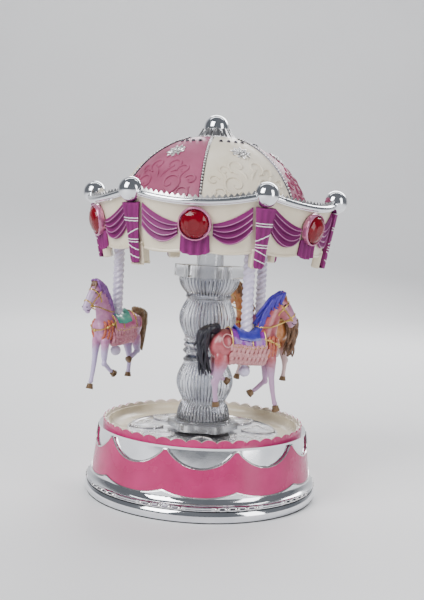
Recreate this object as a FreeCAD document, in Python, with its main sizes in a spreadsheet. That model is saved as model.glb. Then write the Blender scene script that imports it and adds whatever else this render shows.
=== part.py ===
import FreeCAD, Part
import math
import os
import re
import Sketcher
from FreeCAD import Placement, Rotation, Vector

# A carousel music box: a wind-up drum, a clear column and a canopy that carries three horses.
# Millimetres. The origin is at the middle of the rest face and +Z is up.

doc = FreeCAD.newDocument("carousel_music_box")
sheet = doc.addObject("Spreadsheet::Sheet", "Dims")

DIMENSIONS = [
    ("foot_radius", 55.0, "outside of the winding foot"),
    ("foot_height", 4.4, "height of the winding foot above its ring"),
    ("pad_drop", 0.6, "how far the rubber ring stands below the foot"),
    ("foot_plate", 1.8, "plate of the winding foot"),
    ("foot_rim", 2.4, "rim of the winding foot"),
    ("foot_round", 0.8, "roundness of the foot's edge"),
    ("foot_boss", 6.0, "radius of the boss under the foot"),
    ("run_gap", 0.4, "space between turning and standing pieces"),
    ("fit_gap", 0.1, "space between pieces that are pushed together"),
    ("shell_radius", 54.0, "outside of the drum at its lower edge"),
    ("bead_band", 1.6, "plain band for the beads above the parting line"),
    ("flare_height", 4.4, "from the lower edge to the foot of the drum"),
    ("flare_sag", 0.7, "hollow of the flare"),
    ("drum_foot_radius", 51.0, "drum radius at its foot"),
    ("drum_top_radius", 48.6, "drum radius at its top"),
    ("drum_height", 20.4, "height of the tapered drum"),
    ("shell_wall", 1.8, "wall of the drum"),
    ("lip_height", 1.0, "ridge on top of the drum"),
    ("lip_overhang", 0.6, "how far the ridge stands out"),
    ("post_radius", 3.0, "screw posts in the drum"),
    ("band_thick", 0.8, "swag band thickness"),
    ("band_margin", 0.4, "drum left bare above and below the band"),
    ("swag_depth", 7.4, "depth of each half moon above the band"),
    ("lobe_rise", 2.3, "rise between the lobes below the band"),
    ("swag_count", 10, "swags round the drum"),
    ("rim_radius", 47.3, "outside of the scalloped rim"),
    ("rim_rise", 3.1, "height of the scalloped rim"),
    ("rim_wall", 1.2, "wall of the scalloped rim"),
    ("rim_scallops", 44, "scallops round the rim"),
    ("scallop_depth", 1.4, "depth between scallops"),
    ("tray_depth", 6.3, "deck below the rim"),
    ("tray_floor", 1.6, "deck thickness"),
    ("tray_wall", 1.2, "wall of the deck tray"),
    ("tray_fillet", 4.0, "round between deck and wall"),
    ("ledge_width", 3.0, "ledge the tray stands on"),
    ("ledge_thick", 1.6, "thickness of that ledge"),
    ("plate_radius", 36.0, "floral plate radius"),
    ("plate_thick", 0.8, "floral plate thickness"),
    ("petal_rise", 0.5, "relief of the petals"),
    ("petal_count", 8, "petals round the plate"),
    ("petal_inner", 19.0, "inner end of a petal"),
    ("petal_outer", 34.5, "outer end of a petal"),
    ("petal_half", 4.6, "half width of a petal"),
    ("cover_thick", 1.5, "bottom cover thickness"),
    ("screw_circle", 45.0, "circle of the cover screws"),
    ("screw_radius", 1.0, "screw shank radius"),
    ("screw_head_radius", 2.2, "screw head radius"),
    ("screw_head", 1.0, "screw head height"),
    ("screw_length", 6.0, "screw length below the head"),
    ("bed_thick", 1.6, "bedplate thickness"),
    ("arbor_radius", 1.6, "winding arbor radius"),
    ("running_fit", 0.06, "radial clearance of a running shaft"),
    ("crown_teeth", 48, "teeth of the crown gear"),
    ("crown_module", 0.5, "module of the crown gear and its pinion"),
    ("crown_face", 1.4, "face width of the crown gear"),
    ("flange_thick", 1.4, "spring barrel flange"),
    ("can_radius", 9.6, "spring barrel outside radius"),
    ("can_height", 10.0, "spring barrel height"),
    ("can_wall", 0.8, "spring barrel wall"),
    ("spring_thick", 0.25, "mainspring strip thickness"),
    ("spring_turns", 6, "turns of the mainspring"),
    ("pinion_teeth", 16, "teeth of the cylinder pinion"),
    ("train_module", 0.4, "module of the governor train"),
    ("cylinder_teeth", 30, "teeth of the cylinder gear"),
    ("governor_pinion", 10, "teeth of the governor pinion"),
    ("governor_teeth", 24, "teeth of the governor wheel"),
    ("fly_pinion", 12, "teeth of the fly pinion"),
    ("train_backlash", 0.06, "extra centre distance in the train"),
    ("pin_cylinder_radius", 5.5, "pin cylinder radius"),
    ("pin_cylinder_length", 21.0, "pin cylinder length"),
    ("pin_cylinder_wall", 1.2, "pin cylinder wall"),
    ("pin_height", 0.6, "pins above the cylinder"),
    ("bracket_thick", 1.0, "movement bracket thickness"),
    ("comb_teeth", 18, "teeth of the comb"),
    ("comb_thick", 1.0, "comb thickness"),
    ("comb_reach", 12.0, "free length of the comb teeth"),
    ("comb_base", 7.6, "solid part of the comb"),
    ("spindle_radius", 2.0, "drive spindle radius"),
    ("bush_radius", 4.5, "deck bush radius"),
    ("bush_flange", 6.5, "deck bush flange radius"),
    ("core_radius", 6.4, "clear core tube radius"),
    ("core_wall", 1.1, "clear core tube wall"),
    ("hex_radius", 17.0, "corner radius of plinth and abacus"),
    ("plinth_height", 2.4, "plinth thickness"),
    ("ring_radius", 14.2, "ring above the plinth"),
    ("ring_height", 1.4, "height of that ring"),
    ("bell_radius", 12.3, "bell foot radius below"),
    ("bell_height", 9.0, "bell foot height"),
    ("neck_radius", 10.5, "column radius at its necks"),
    ("barrel_height", 19.0, "height of each column barrel"),
    ("barrel_bulge", 3.0, "how far a barrel bulges"),
    ("knot_radius", 11.2, "radius of the knot's two rings"),
    ("knot_height", 11.0, "height of the knot"),
    ("knot_waist", 2.2, "hollow of the knot"),
    ("cup_radius", 14.4, "capital radius above"),
    ("cup_height", 10.2, "capital height"),
    ("abacus_height", 5.8, "abacus thickness"),
    ("hub_rise", 10.0, "core tube seen between abacus and canopy"),
    ("turn_angle", 22.6, "where the first pole stands, from the front"),
    ("ceiling_thick", 1.6, "ceiling plate thickness"),
    ("ceiling_boss", 6.4, "height of the boss on the ceiling plate"),
    ("valance_drop", 3.4, "valance below the ceiling"),
    ("valance_rise", 22.0, "valance above the ceiling"),
    ("valance_low_radius", 51.6, "valance radius at its lower edge"),
    ("valance_top_radius", 56.4, "valance radius at its upper edge"),
    ("valance_wall", 1.8, "valance wall"),
    ("valance_scallop", 1.8, "depth between the valance lobes"),
    ("eave_rise", 14.5, "roof seat above the ceiling"),
    ("seat_width", 3.2, "ledges inside the valance"),
    ("seat_thick", 1.4, "thickness of those ledges"),
    ("rail_radius", 1.3, "crown rail thickness radius"),
    ("rail_low_rise", 17.8, "rail middle above the ceiling"),
    ("ball_rise", 22.0, "corner balls above the ceiling"),
    ("ball_circle", 57.2, "circle of the corner balls"),
    ("ball_radius", 5.3, "corner ball radius"),
    ("dome_radius", 47.2, "roof sphere radius"),
    ("dome_centre_rise", 3.0, "roof sphere centre above the ceiling"),
    ("dome_wall", 1.6, "roof thickness"),
    ("dome_hole", 4.4, "hole in the roof under the finial"),
    ("bead_radius", 0.75, "bead line radius"),
    ("collar_radius", 8.9, "finial collar radius below"),
    ("collar_top_radius", 5.2, "finial collar radius above"),
    ("finial_radius", 5.8, "finial ball radius"),
    ("finial_rise", 4.0, "finial ball centre above the top of the roof sphere"),
    ("drape_thick", 1.5, "swag drape thickness"),
    ("pillar_thick", 3.0, "pillar drape thickness"),
    ("pillar_top_width", 9.4, "pillar drape width above"),
    ("pillar_waist_width", 5.7, "pillar drape width at its waist"),
    ("pillar_foot_width", 5.0, "pillar drape width at its tail"),
    ("tab_width", 12.6, "pleated tab width"),
    ("tab_height", 8.0, "pleated tab height"),
    ("tab_thick", 1.6, "pleated tab thickness"),
    ("tab_pleats", 6, "pleats of a tab"),
    ("gem_rise", 9.0, "gem centre above the ceiling"),
    ("bezel_radius", 7.1, "gem bezel radius"),
    ("bezel_depth", 3.0, "gem bezel depth"),
    ("gem_radius", 6.2, "gem radius"),
    ("gem_height", 3.4, "gem height"),
    ("pole_circle", 44.0, "circle of the poles"),
    ("pole_radius", 2.4, "pole middle radius"),
    ("pole_lobe", 0.25, "depth of the pole's twist"),
    ("pole_lead", 8.1, "lead of the pole's twist"),
    ("pole_drop", 52.9, "knob centre below the ceiling"),
    ("knob_radius", 2.5, "knob under the horse"),
    ("knob_neck", 1.2, "neck between pole and knob"),
    ("neck_rise", 3.2, "pole's twist starts above the knob"),
    ("spigot_radius", 1.7, "pole spigot in the ceiling"),
    ("nut_height", 2.4, "pole nut height"),
    ("nut_radius", 3.2, "pole nut corner radius"),
    ("horse_length", 47.5, "horse from nose to tail"),
    ("left_horse_turn", 26.0, "left horse turned outwards on its pole"),
    ("lamp_count", 6, "lamps round the ceiling"),
    ("lamp_circle", 35.0, "circle of the lamps"),
    ("lamp_radius", 1.5, "lamp radius"),
    ("board_width", 6.0, "lamp board half width"),
    ("board_thick", 1.2, "lamp board thickness"),
    ("cell_radius", 5.8, "button cell radius"),
    ("cell_height", 5.4, "button cell height"),
    ("cell_count", 3, "button cells in the stack"),
    ("holder_wall", 1.4, "battery holder wall"),
    ("holder_circle", 18.5, "battery holder from the axis"),
    ("switch_travel", 3.0, "switch knob travel"),
    ("switch_circle", 20.0, "switch from the axis"),
]

for row, (alias, value, meaning) in enumerate(DIMENSIONS, start=1):
    sheet.set(f"A{row}", meaning)
    sheet.set(f"B{row}", str(value))
    sheet.setAlias(f"B{row}", alias)
doc.recompute()

# Levels and radii that follow from the sheet
DERIVED = {
    "foot_top": "pad_drop + foot_height",
    "shell_bottom": "foot_top + run_gap",
    "shell_inner": "shell_radius - shell_wall",
    "cover_bottom": "shell_bottom + fit_gap",
    "cover_top": "cover_bottom + cover_thick",
    "cover_radius": "shell_inner - 2 * fit_gap",
    "drum_foot": "shell_bottom + flare_height",
    "drum_top": "drum_foot + drum_height",
    "drum_taper": "(drum_foot_radius - drum_top_radius) / drum_height",
    "lip_top": "drum_top + lip_height",
    "rim_top": "lip_top + rim_rise",
    "rim_inner": "rim_radius - rim_wall",
    "tray_outer": "rim_inner - fit_gap",
    "tray_top": "rim_top - scallop_depth - 2 * fit_gap",
    "deck_level": "rim_top - tray_depth",
    "tray_bottom": "deck_level - tray_floor",
    "tray_bore": "bush_radius + fit_gap / 2",
    "ledge_bottom": "tray_bottom - ledge_thick",
    "band_low": "drum_foot + band_margin",
    "band_high": "drum_top - band_margin",
    "bed_top": "cover_top + bed_thick",
    "can_bottom": "bed_top + 1.4",
    "flange_top": "can_bottom + flange_thick",
    "can_top": "can_bottom + can_height",
    "crown_radius": "crown_teeth * crown_module / 2",
    "pinion_radius": "pinion_teeth * crown_module / 2",
    "axis_level": "flange_top + 1.3 * crown_module + pinion_radius + train_backlash",
    "bracket_inner": "crown_radius + crown_face / 2 + run_gap",
    "cylinder_start": "bracket_inner + bracket_thick + run_gap",
    "cylinder_end": "cylinder_start + pin_cylinder_length",
    "bracket_outer": "cylinder_end + 1.6",
    "governor_offset": "(cylinder_teeth + governor_pinion) * train_module / 2 + train_backlash",
    "fly_offset": "governor_offset + (governor_teeth + fly_pinion) * train_module / 2 + train_backlash",
    "plate_top": "deck_level + plate_thick",
    "plinth_bottom": "plate_top + petal_rise + run_gap",
    "plinth_top": "plinth_bottom + plinth_height",
    "bell_bottom": "plinth_top + ring_height",
    "lower_bottom": "bell_bottom + bell_height",
    "knot_bottom": "lower_bottom + barrel_height",
    "upper_bottom": "knot_bottom + knot_height",
    "cup_bottom": "upper_bottom + barrel_height",
    "abacus_bottom": "cup_bottom + cup_height",
    "abacus_top": "abacus_bottom + abacus_height",
    "column_bore": "core_radius + fit_gap",
    "ceiling": "abacus_top + hub_rise",
    "ceiling_top": "ceiling + ceiling_thick",
    "core_top": "ceiling_top + ceiling_boss",
    "valance_low": "ceiling - valance_drop",
    "valance_high": "ceiling + valance_rise",
    "valance_lean": "(valance_top_radius - valance_low_radius) / (valance_high - valance_low)",
    "eave": "ceiling + eave_rise",
    "eave_top": "eave + dome_wall",
    "dome_centre": "ceiling + dome_centre_rise",
    "dome_inner": "dome_radius - dome_wall",
    "rail_low": "ceiling + rail_low_rise",
    "ball_level": "ceiling + ball_rise",
    "finial_centre": "dome_centre + dome_radius + finial_rise",
    "gem_level": "ceiling + gem_rise",
    "knob_level": "ceiling - pole_drop",
    "board_bottom": "ceiling_top + 1.0",
}
ALIASES = {alias for alias, value, meaning in DIMENSIONS}


def drive(text):
    """Write an expression over the sheet's aliases the way FreeCAD reads it."""
    def swap(match):
        word = match.group(0)
        if word in DERIVED:
            return "(" + drive(DERIVED[word]) + ")"
        if word in ALIASES:
            return "Dims." + word
        return word
    return re.sub(r"[a-z_]+[a-z_0-9]*", swap, str(text))


def size(text):
    """The number that an expression over the sheet gives."""
    return float(sheet.evalExpression(drive(text)))


def drum_at(level):
    """Outside radius of the drum at a level, as an expression."""
    return f"(drum_foot_radius - drum_taper * (({level}) - drum_foot))"


def valance_at(level):
    """Outside radius of the valance at a level, as an expression."""
    return f"(valance_low_radius + valance_lean * (({level}) - valance_low))"


def sphere_at(radius, level):
    """Radius of the roof sphere at a level, as an expression."""
    return f"sqrt(({radius})^2 - (({level}) - dome_centre)^2)"


def sphere_level(radius, distance):
    """Level of the roof sphere at a distance from the axis, as an expression."""
    return f"(dome_centre + sqrt(({radius})^2 - ({distance})^2))"


# Bodies, sketches and features
def new_body(label):
    body = doc.addObject("PartDesign::Body", label)
    body.Label = label
    return body


def origin_part(body, role):
    for feature in body.Origin.OriginFeatures:
        if feature.Role == role:
            return feature
    raise ValueError(role)


def new_sketch(body, role, level=None, turn=None):
    """A sketch on one of the body's own planes, lifted or turned about Z where asked."""
    sketch = body.newObject("Sketcher::SketchObject", "Sketch")
    sketch.AttachmentSupport = [(origin_part(body, role), "")]
    sketch.MapMode = "FlatFace"
    if level is not None:
        sketch.setExpression("AttachmentOffset.Base.z", drive(level))
    if turn is not None:
        upright = Vector(0, 1, 0)
        sketch.AttachmentOffset = Placement(Vector(), Rotation(upright, size(turn)))
        sketch.setExpression("AttachmentOffset.Rotation.Angle", drive(turn))
    return sketch


def hold_point(sketch, geometry, end, point):
    """Hold one end of a line or arc at a point given as two expressions."""
    for axis, text in zip(("DistanceX", "DistanceY"), point):
        if str(text) == "0":
            line = -2 if axis == "DistanceX" else -1
            sketch.addConstraint(Sketcher.Constraint("PointOnObject", geometry, end, line))
            continue
        index = sketch.addConstraint(Sketcher.Constraint(axis, -1, 1, geometry, end, size(text)))
        name = f"{axis}_{index}"
        sketch.renameConstraint(index, name)
        sketch.setExpression(f"Constraints.{name}", drive(text))


def draw_loop(sketch, points, arcs=None):
    """A closed loop. arcs gives an edge a radius and the side it bulges to: 1 left, -1 right."""
    arcs = arcs or {}
    count = len(points)
    places = [Vector(size(x), size(y), 0) for x, y in points]
    ends = []
    for index in range(count):
        first = places[index]
        second = places[(index + 1) % count]
        if index in arcs:
            text, side = arcs[index]
            radius = size(text)
            along = second - first
            left = Vector(-along.y, along.x, 0).normalize()
            half = along.Length / 2
            bulge = radius - math.sqrt(max(radius ** 2 - half ** 2, 0.0))
            middle = (first + second) * 0.5 + left * bulge * side
            geometry = sketch.addGeometry(Part.Arc(first, middle, second), False)
        else:
            geometry = sketch.addGeometry(Part.LineSegment(first, second), False)
        begins = sketch.getPoint(geometry, 1)
        ends.append((geometry, 1, 2) if (begins - first).Length < 1e-6 else (geometry, 2, 1))
    for index in range(count):
        geometry, head, tail = ends[index]
        following, next_head, next_tail = ends[(index + 1) % count]
        sketch.addConstraint(Sketcher.Constraint("Coincident", geometry, tail, following, next_head))
    for index in range(count):
        geometry, head, tail = ends[index]
        hold_point(sketch, geometry, head, points[index])
        if index in arcs:
            text, side = arcs[index]
            held = sketch.addConstraint(Sketcher.Constraint("Radius", geometry, size(text)))
            sketch.renameConstraint(held, f"Radius_{held}")
            sketch.setExpression(f"Constraints.Radius_{held}", drive(text))
    return sketch


def draw_circle(sketch, x, y, radius):
    """A circle held at a point given as two expressions."""
    circle = Part.Circle(Vector(size(x), size(y), 0), Vector(0, 0, 1), size(radius))
    geometry = sketch.addGeometry(circle, False)
    if str(x) == "0" and str(y) == "0":
        sketch.addConstraint(Sketcher.Constraint("Coincident", geometry, 3, -1, 1))
    else:
        hold_point(sketch, geometry, 3, (x, y))
    held = sketch.addConstraint(Sketcher.Constraint("Radius", geometry, size(radius)))
    sketch.renameConstraint(held, f"Radius_{held}")
    sketch.setExpression(f"Constraints.Radius_{held}", drive(radius))
    return sketch


def revolve(body, points, arcs=None):
    """Turn a profile of (radius, level) corners about Z."""
    sketch = draw_loop(new_sketch(body, "XZ_Plane"), points, arcs)
    feature = body.newObject("PartDesign::Revolution", "Revolution")
    feature.Profile = sketch
    feature.ReferenceAxis = (sketch, ["V_Axis"])
    feature.Angle = 360
    doc.recompute()
    return feature


def pad(body, sketch, length):
    feature = body.newObject("PartDesign::Pad", "Pad")
    feature.Profile = sketch
    feature.setExpression("Length", drive(length))
    doc.recompute()
    return feature


def pocket(body, sketch, length, reverse):
    """Cut a sketch into the body and make sure that it did cut."""
    before = body.Shape.Volume
    feature = body.newObject("PartDesign::Pocket", "Pocket")
    feature.Profile = sketch
    feature.setExpression("Length", drive(length))
    feature.Reversed = reverse
    doc.recompute()
    if body.Shape.Volume > before - 1e-6:
        raise ValueError(f"{body.Label}: a pocket cut nothing")
    return feature


def repeat(body, features, count):
    """Repeat features round Z."""
    pattern = body.newObject("PartDesign::PolarPattern", "PolarPattern")
    pattern.Originals = features
    pattern.Axis = (origin_part(body, "Z_Axis"), [""])
    pattern.Angle = 360
    pattern.setExpression("Occurrences", drive(count))
    body.Tip = pattern
    doc.recompute()
    return pattern


def feature(label, shape):
    """A shape worked out from the sheet's numbers."""
    item = doc.addObject("Part::Feature", label)
    item.Label = label
    item.Shape = shape
    return item


def arc_radius(chord, sag):
    """Radius of an arc from its chord and sag, as an expression."""
    return f"(({chord})^2 / 8 / ({sag}) + ({sag}) / 2)"


def around(shape, count, start=0.0):
    """Copies of a shape turned round Z, as one compound."""
    copies = []
    for index in range(int(round(count))):
        copy = shape.copy()
        copy.rotate(Vector(), Vector(0, 0, 1), start + 360.0 * index / count)
        copies.append(copy)
    return Part.makeCompound(copies)


def rod(radius, low, high, x=0.0, y=0.0):
    """An upright cylinder between two levels."""
    return Part.makeCylinder(radius, high - low, Vector(x, y, low))


def beam(low, high):
    """A box between two corners."""
    span = Vector(*high) - Vector(*low)
    return Part.makeBox(span.x, span.y, span.z, Vector(*low))


# Winding foot: the turned disc that the box stands on and is wound by
foot = new_body("winding_foot")
revolve(foot, [
    ("arbor_radius + fit_gap / 4", "foot_top"),
    ("arbor_radius + fit_gap / 4", "2 * pad_drop"),
    ("foot_boss", "2 * pad_drop"),
    ("foot_boss", "foot_top - foot_plate"),
    ("foot_radius - foot_round - foot_rim", "foot_top - foot_plate"),
    ("foot_radius - foot_round - foot_rim", "pad_drop"),
    ("foot_radius - foot_round", "pad_drop"),
    ("foot_radius - foot_round", "foot_top"),
], {6: (arc_radius("foot_height", "foot_round"), -1)})

foot_ring = new_body("foot_ring")
revolve(foot_ring, [
    ("foot_radius - foot_round - foot_rim + fit_gap", "0"),
    ("foot_radius - foot_round - fit_gap", "0"),
    ("foot_radius - foot_round - fit_gap", "pad_drop"),
    ("foot_radius - foot_round - foot_rim + fit_gap", "pad_drop"),
])

arbor = doc.addObject("Part::Cylinder", "winding_arbor")
arbor.Label = "winding_arbor"
arbor.setExpression("Radius", drive("arbor_radius"))
arbor.setExpression("Height", drive("can_top - can_wall - 3 * run_gap - 2 * pad_drop"))
arbor.setExpression("Placement.Base.z", drive("2 * pad_drop"))

# Drum: chrome shell with a flare, a ledge for the tray and three screw posts
shell = new_body("drum_shell")
revolve(shell, [
    ("shell_inner", "shell_bottom"),
    ("shell_radius", "shell_bottom"),
    ("shell_radius", "shell_bottom + bead_band"),
    ("drum_foot_radius", "drum_foot"),
    ("drum_top_radius", "drum_top"),
    ("drum_top_radius + lip_overhang", "drum_top"),
    ("drum_top_radius + lip_overhang", "lip_top"),
    ("tray_outer + fit_gap", "lip_top"),
    ("tray_outer + fit_gap", "tray_bottom"),
    ("tray_outer - ledge_width", "tray_bottom"),
    ("tray_outer - ledge_width", "ledge_bottom"),
    ("drum_top_radius - shell_wall", "ledge_bottom"),
    ("drum_foot_radius - shell_wall", "cover_top"),
    ("shell_inner", "cover_top"),
], {2: (arc_radius("sqrt((shell_radius - drum_foot_radius)^2 + (flare_height - bead_band)^2)",
                   "flare_sag"), 1)})
post = pad(shell, draw_circle(new_sketch(shell, "XY_Plane", "cover_top"),
                              "screw_circle", "0", "post_radius"),
           "ledge_bottom - cover_top + ledge_thick / 2")
posts = repeat(shell, [post], "3")
hole = pocket(shell, draw_circle(new_sketch(shell, "XY_Plane", "cover_top"),
                                 "screw_circle", "0", "screw_radius + fit_gap / 2"),
              "screw_length + run_gap", True)
repeat(shell, [hole], "3")

# Swag band: a ring on the drum's taper with half moons cut above and cusps below
band = new_body("swag_band")
revolve(band, [
    (drum_at("band_low") + " + fit_gap / 2", "band_low"),
    (drum_at("band_low") + " + fit_gap / 2 + band_thick", "band_low"),
    (drum_at("band_high") + " + fit_gap / 2 + band_thick", "band_high"),
    (drum_at("band_high") + " + fit_gap / 2", "band_high"),
])
MOON = "((drum_top_radius + band_thick) * sin(180 / swag_count) - band_thick)"
moon = pocket(band, draw_loop(new_sketch(band, "XZ_Plane"), [
    ("-" + MOON, "band_high"),
    (MOON, "band_high"),
    (MOON, "band_high + band_thick"),
    ("-" + MOON, "band_high + band_thick"),
], {0: (arc_radius("2 * " + MOON, "swag_depth"), -1)}), "foot_radius", True)
repeat(band, [moon], "swag_count")
CUSP = "((drum_foot_radius + band_thick) * sin(180 / swag_count) - band_thick)"
LOBE = arc_radius("2 * " + CUSP, "lobe_rise")
cusp = pocket(band, draw_loop(new_sketch(band, "XZ_Plane", turn="180 / swag_count"), [
    ("-" + CUSP, "band_low"),
    ("0", "band_low + lobe_rise"),
    (CUSP, "band_low"),
    (CUSP, "band_low - band_thick"),
    ("-" + CUSP, "band_low - band_thick"),
], {0: (LOBE, -1), 1: (LOBE, -1)}), "foot_radius", True)
repeat(band, [cusp], "swag_count")

# Scalloped rim
rim = new_body("scallop_rim")
revolve(rim, [
    ("rim_inner", "lip_top"),
    ("rim_radius", "lip_top"),
    ("rim_radius", "rim_top"),
    ("rim_inner", "rim_top"),
])
NOTCH = "(rim_radius * sin(180 / rim_scallops) - fit_gap)"
BUMP = arc_radius("2 * " + NOTCH, "scallop_depth")
notch = pocket(rim, draw_loop(new_sketch(rim, "XZ_Plane"), [
    ("-" + NOTCH, "rim_top"),
    ("0", "rim_top - scallop_depth"),
    (NOTCH, "rim_top"),
    (NOTCH, "rim_top + scallop_depth"),
    ("-" + NOTCH, "rim_top + scallop_depth"),
], {0: (BUMP, 1), 1: (BUMP, 1)}), "foot_radius", True)
repeat(rim, [notch], "rim_scallops")

# Deck: the tray, the floral plate and the bush that guides the spindle
tray = new_body("deck_tray")
revolve(tray, [
    ("tray_bore", "tray_bottom"),
    ("tray_outer", "tray_bottom"),
    ("tray_outer", "tray_top"),
    ("tray_outer - tray_wall", "tray_top"),
    ("tray_outer - tray_wall", "deck_level + tray_fillet"),
    ("tray_outer - tray_wall - tray_fillet", "deck_level"),
    ("tray_bore", "deck_level"),
], {4: ("tray_fillet", 1)})

plate = new_body("deck_plate")
disc = draw_circle(new_sketch(plate, "XY_Plane", "deck_level"), "0", "0", "plate_radius")
draw_circle(disc, "0", "0", "tray_bore")
pad(plate, disc, "plate_thick")
PETAL = arc_radius("petal_outer - petal_inner", "petal_half")
petal = pad(plate, draw_loop(new_sketch(plate, "XY_Plane", "plate_top"), [
    ("petal_inner", "0"),
    ("petal_outer", "0"),
], {0: (PETAL, -1), 1: (PETAL, -1)}), "petal_rise")
repeat(plate, [petal], "petal_count")

bush = new_body("deck_bush")
revolve(bush, [
    ("spindle_radius + running_fit", "tray_bottom - 1"),
    ("bush_flange", "tray_bottom - 1"),
    ("bush_flange", "tray_bottom"),
    ("bush_radius", "tray_bottom"),
    ("bush_radius", "plate_top"),
    ("spindle_radius + running_fit", "plate_top"),
])

# Bottom cover with counterbored screw holes
cover = new_body("bottom_cover")
revolve(cover, [
    ("arbor_radius + running_fit", "cover_bottom"),
    ("cover_radius", "cover_bottom"),
    ("cover_radius", "cover_top"),
    ("arbor_radius + running_fit", "cover_top"),
])
through = pocket(cover, draw_circle(new_sketch(cover, "XY_Plane", "cover_bottom"),
                                    "screw_circle", "0", "screw_radius + fit_gap / 2"),
                 "cover_thick", True)
repeat(cover, [through], "3")
recess = pocket(cover, draw_circle(new_sketch(cover, "XY_Plane", "cover_bottom"),
                                   "screw_circle", "0", "screw_head_radius + fit_gap"),
                "screw_head", True)
repeat(cover, [recess], "3")

head_low = size("cover_bottom")
head_high = head_low + size("screw_head")
cover_screw = rod(size("screw_head_radius"), head_low, head_high, size("screw_circle"))
cover_screw = cover_screw.fuse(rod(size("screw_radius"), head_high, head_high + size("screw_length"),
                                   size("screw_circle")))
feature("cover_screws", around(cover_screw, 3))

# Movement bedplate with a boss for the barrel and a riser for the comb
BED_BACK = "(can_radius + 4)"
BED_END = "(bracket_outer + bracket_thick + 1)"
BED_LOW = "(fly_offset + 3)"
COMB_TIP = "(pin_cylinder_radius + pin_height + run_gap)"
COMB_ROOT = "(pin_cylinder_radius + pin_height + run_gap + comb_reach)"
COMB_EDGE = "(pin_cylinder_radius + pin_height + run_gap + comb_reach + comb_base)"
bed = new_body("bedplate")
pad(bed, draw_loop(new_sketch(bed, "XY_Plane", "cover_top"), [
    ("-" + BED_BACK, "-" + BED_BACK),
    (BED_END, "-" + BED_LOW),
    (BED_END, "can_radius"),
    ("cylinder_end", COMB_EDGE),
    ("cylinder_start", COMB_EDGE),
    ("-" + BED_BACK, BED_BACK),
]), "bed_thick")
pad(bed, draw_circle(new_sketch(bed, "XY_Plane", "bed_top"), "0", "0", "3"), "can_bottom - bed_top - run_gap")
pad(bed, draw_loop(new_sketch(bed, "XY_Plane", "bed_top"), [
    ("cylinder_start", COMB_ROOT + " + 1"),
    ("cylinder_end", COMB_ROOT + " + 1"),
    ("cylinder_end", COMB_EDGE),
    ("cylinder_start", COMB_EDGE),
]), "axis_level - comb_thick / 2 - bed_top")
pocket(bed, draw_circle(new_sketch(bed, "XY_Plane", "cover_top"), "0", "0",
                        "arbor_radius + running_fit"), "can_bottom", True)

BED_SCREWS = [(-9.0, -9.0), (-9.0, 9.0), (33.0, -6.0)]
bed_screws = []
for x, y in BED_SCREWS:
    top = size("bed_top")
    hole = new_sketch(bed, "XY_Plane", "bed_top")
    draw_circle(hole, str(x), str(y), "screw_radius + fit_gap / 2")
    pocket(bed, hole, "bed_thick", False)
    head = rod(size("screw_head_radius"), top, top + size("screw_head"), x, y)
    bed_screws.append(head.fuse(rod(size("screw_radius"), size("cover_top"), top, x, y)))
feature("bedplate_screws", Part.makeCompound(bed_screws))

# Brackets that carry the cylinder, the governor wheel and the fly
level = size("axis_level")
governor_y = -size("governor_offset")
fly_y = -size("fly_offset")
ARBOR = 1.0
GOVERNOR_ARBOR = 0.6
FLY_ARBOR = 0.5
fit = size("running_fit")
brackets = []
for start in (size("bracket_inner"), size("bracket_outer")):
    wall = beam((start, fly_y - 2.0, size("bed_top")), (start + size("bracket_thick"), 3.0, level + 3.0))
    for y, radius in ((0.0, ARBOR), (governor_y, GOVERNOR_ARBOR), (fly_y, FLY_ARBOR)):
        bore = Part.makeCylinder(radius + fit, 4.0, Vector(start - 1.0, y, level), Vector(1, 0, 0))
        wall = wall.cut(bore)
    brackets.append(wall)
feature("movement_brackets", Part.makeCompound(brackets))


def gear(module, teeth, low, high, bore, phase, slim):
    """A spur gear on the X axis between two stations. slim is its tooth share of the pitch."""
    pitch = module * teeth / 2
    step = 2 * math.pi / teeth
    corners = []
    for index in range(int(teeth)):
        middle = phase + index * step
        flank = ((pitch - 1.2 * module, 1.3), (pitch, 1.0), (pitch + 0.9 * module, 0.45))
        for radius, share in flank:
            corners.append((radius, middle - step / 2 * slim * share))
        for radius, share in reversed(flank):
            corners.append((radius, middle + step / 2 * slim * share))
    points = [Vector(low, radius * math.cos(angle), radius * math.sin(angle)) for radius, angle in corners]
    face = Part.Face(Part.makePolygon(points + points[:1]))
    solid = face.extrude(Vector(high - low, 0, 0))
    if bore:
        solid = solid.cut(Part.makeCylinder(bore, high - low, Vector(low, 0, 0), Vector(1, 0, 0)))
    return solid


def shaft(radius, low, high, y):
    """A shaft along X at the movement's level."""
    return Part.makeCylinder(radius, high - low, Vector(low, y, level), Vector(1, 0, 0))


def at_level(shape, y):
    shape.translate(Vector(0, y, level))
    return shape


# Spring barrel: a can with a flange of upward crown teeth
barrel = new_body("spring_barrel")
revolve(barrel, [
    ("arbor_radius + running_fit", "can_bottom"),
    ("crown_radius + crown_face / 2", "can_bottom"),
    ("crown_radius + crown_face / 2", "flange_top"),
    ("can_radius", "flange_top"),
    ("can_radius", "can_top"),
    ("0", "can_top"),
    ("0", "can_top - can_wall"),
    ("can_radius - can_wall", "can_top - can_wall"),
    ("can_radius - can_wall", "flange_top"),
    ("arbor_radius + running_fit", "flange_top"),
])
tooth_plan = new_sketch(barrel, "YZ_Plane", "crown_radius - crown_face / 2")
draw_loop(tooth_plan, [
    ("-0.95 * crown_module", "flange_top - run_gap"),
    ("0.95 * crown_module", "flange_top - run_gap"),
    ("0.8 * crown_module", "flange_top"),
    ("0.3 * crown_module", "flange_top + 2.1 * crown_module"),
    ("-0.3 * crown_module", "flange_top + 2.1 * crown_module"),
    ("-0.8 * crown_module", "flange_top"),
])
tooth = pad(barrel, tooth_plan, "crown_face")
repeat(barrel, [tooth], "crown_teeth")


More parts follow.
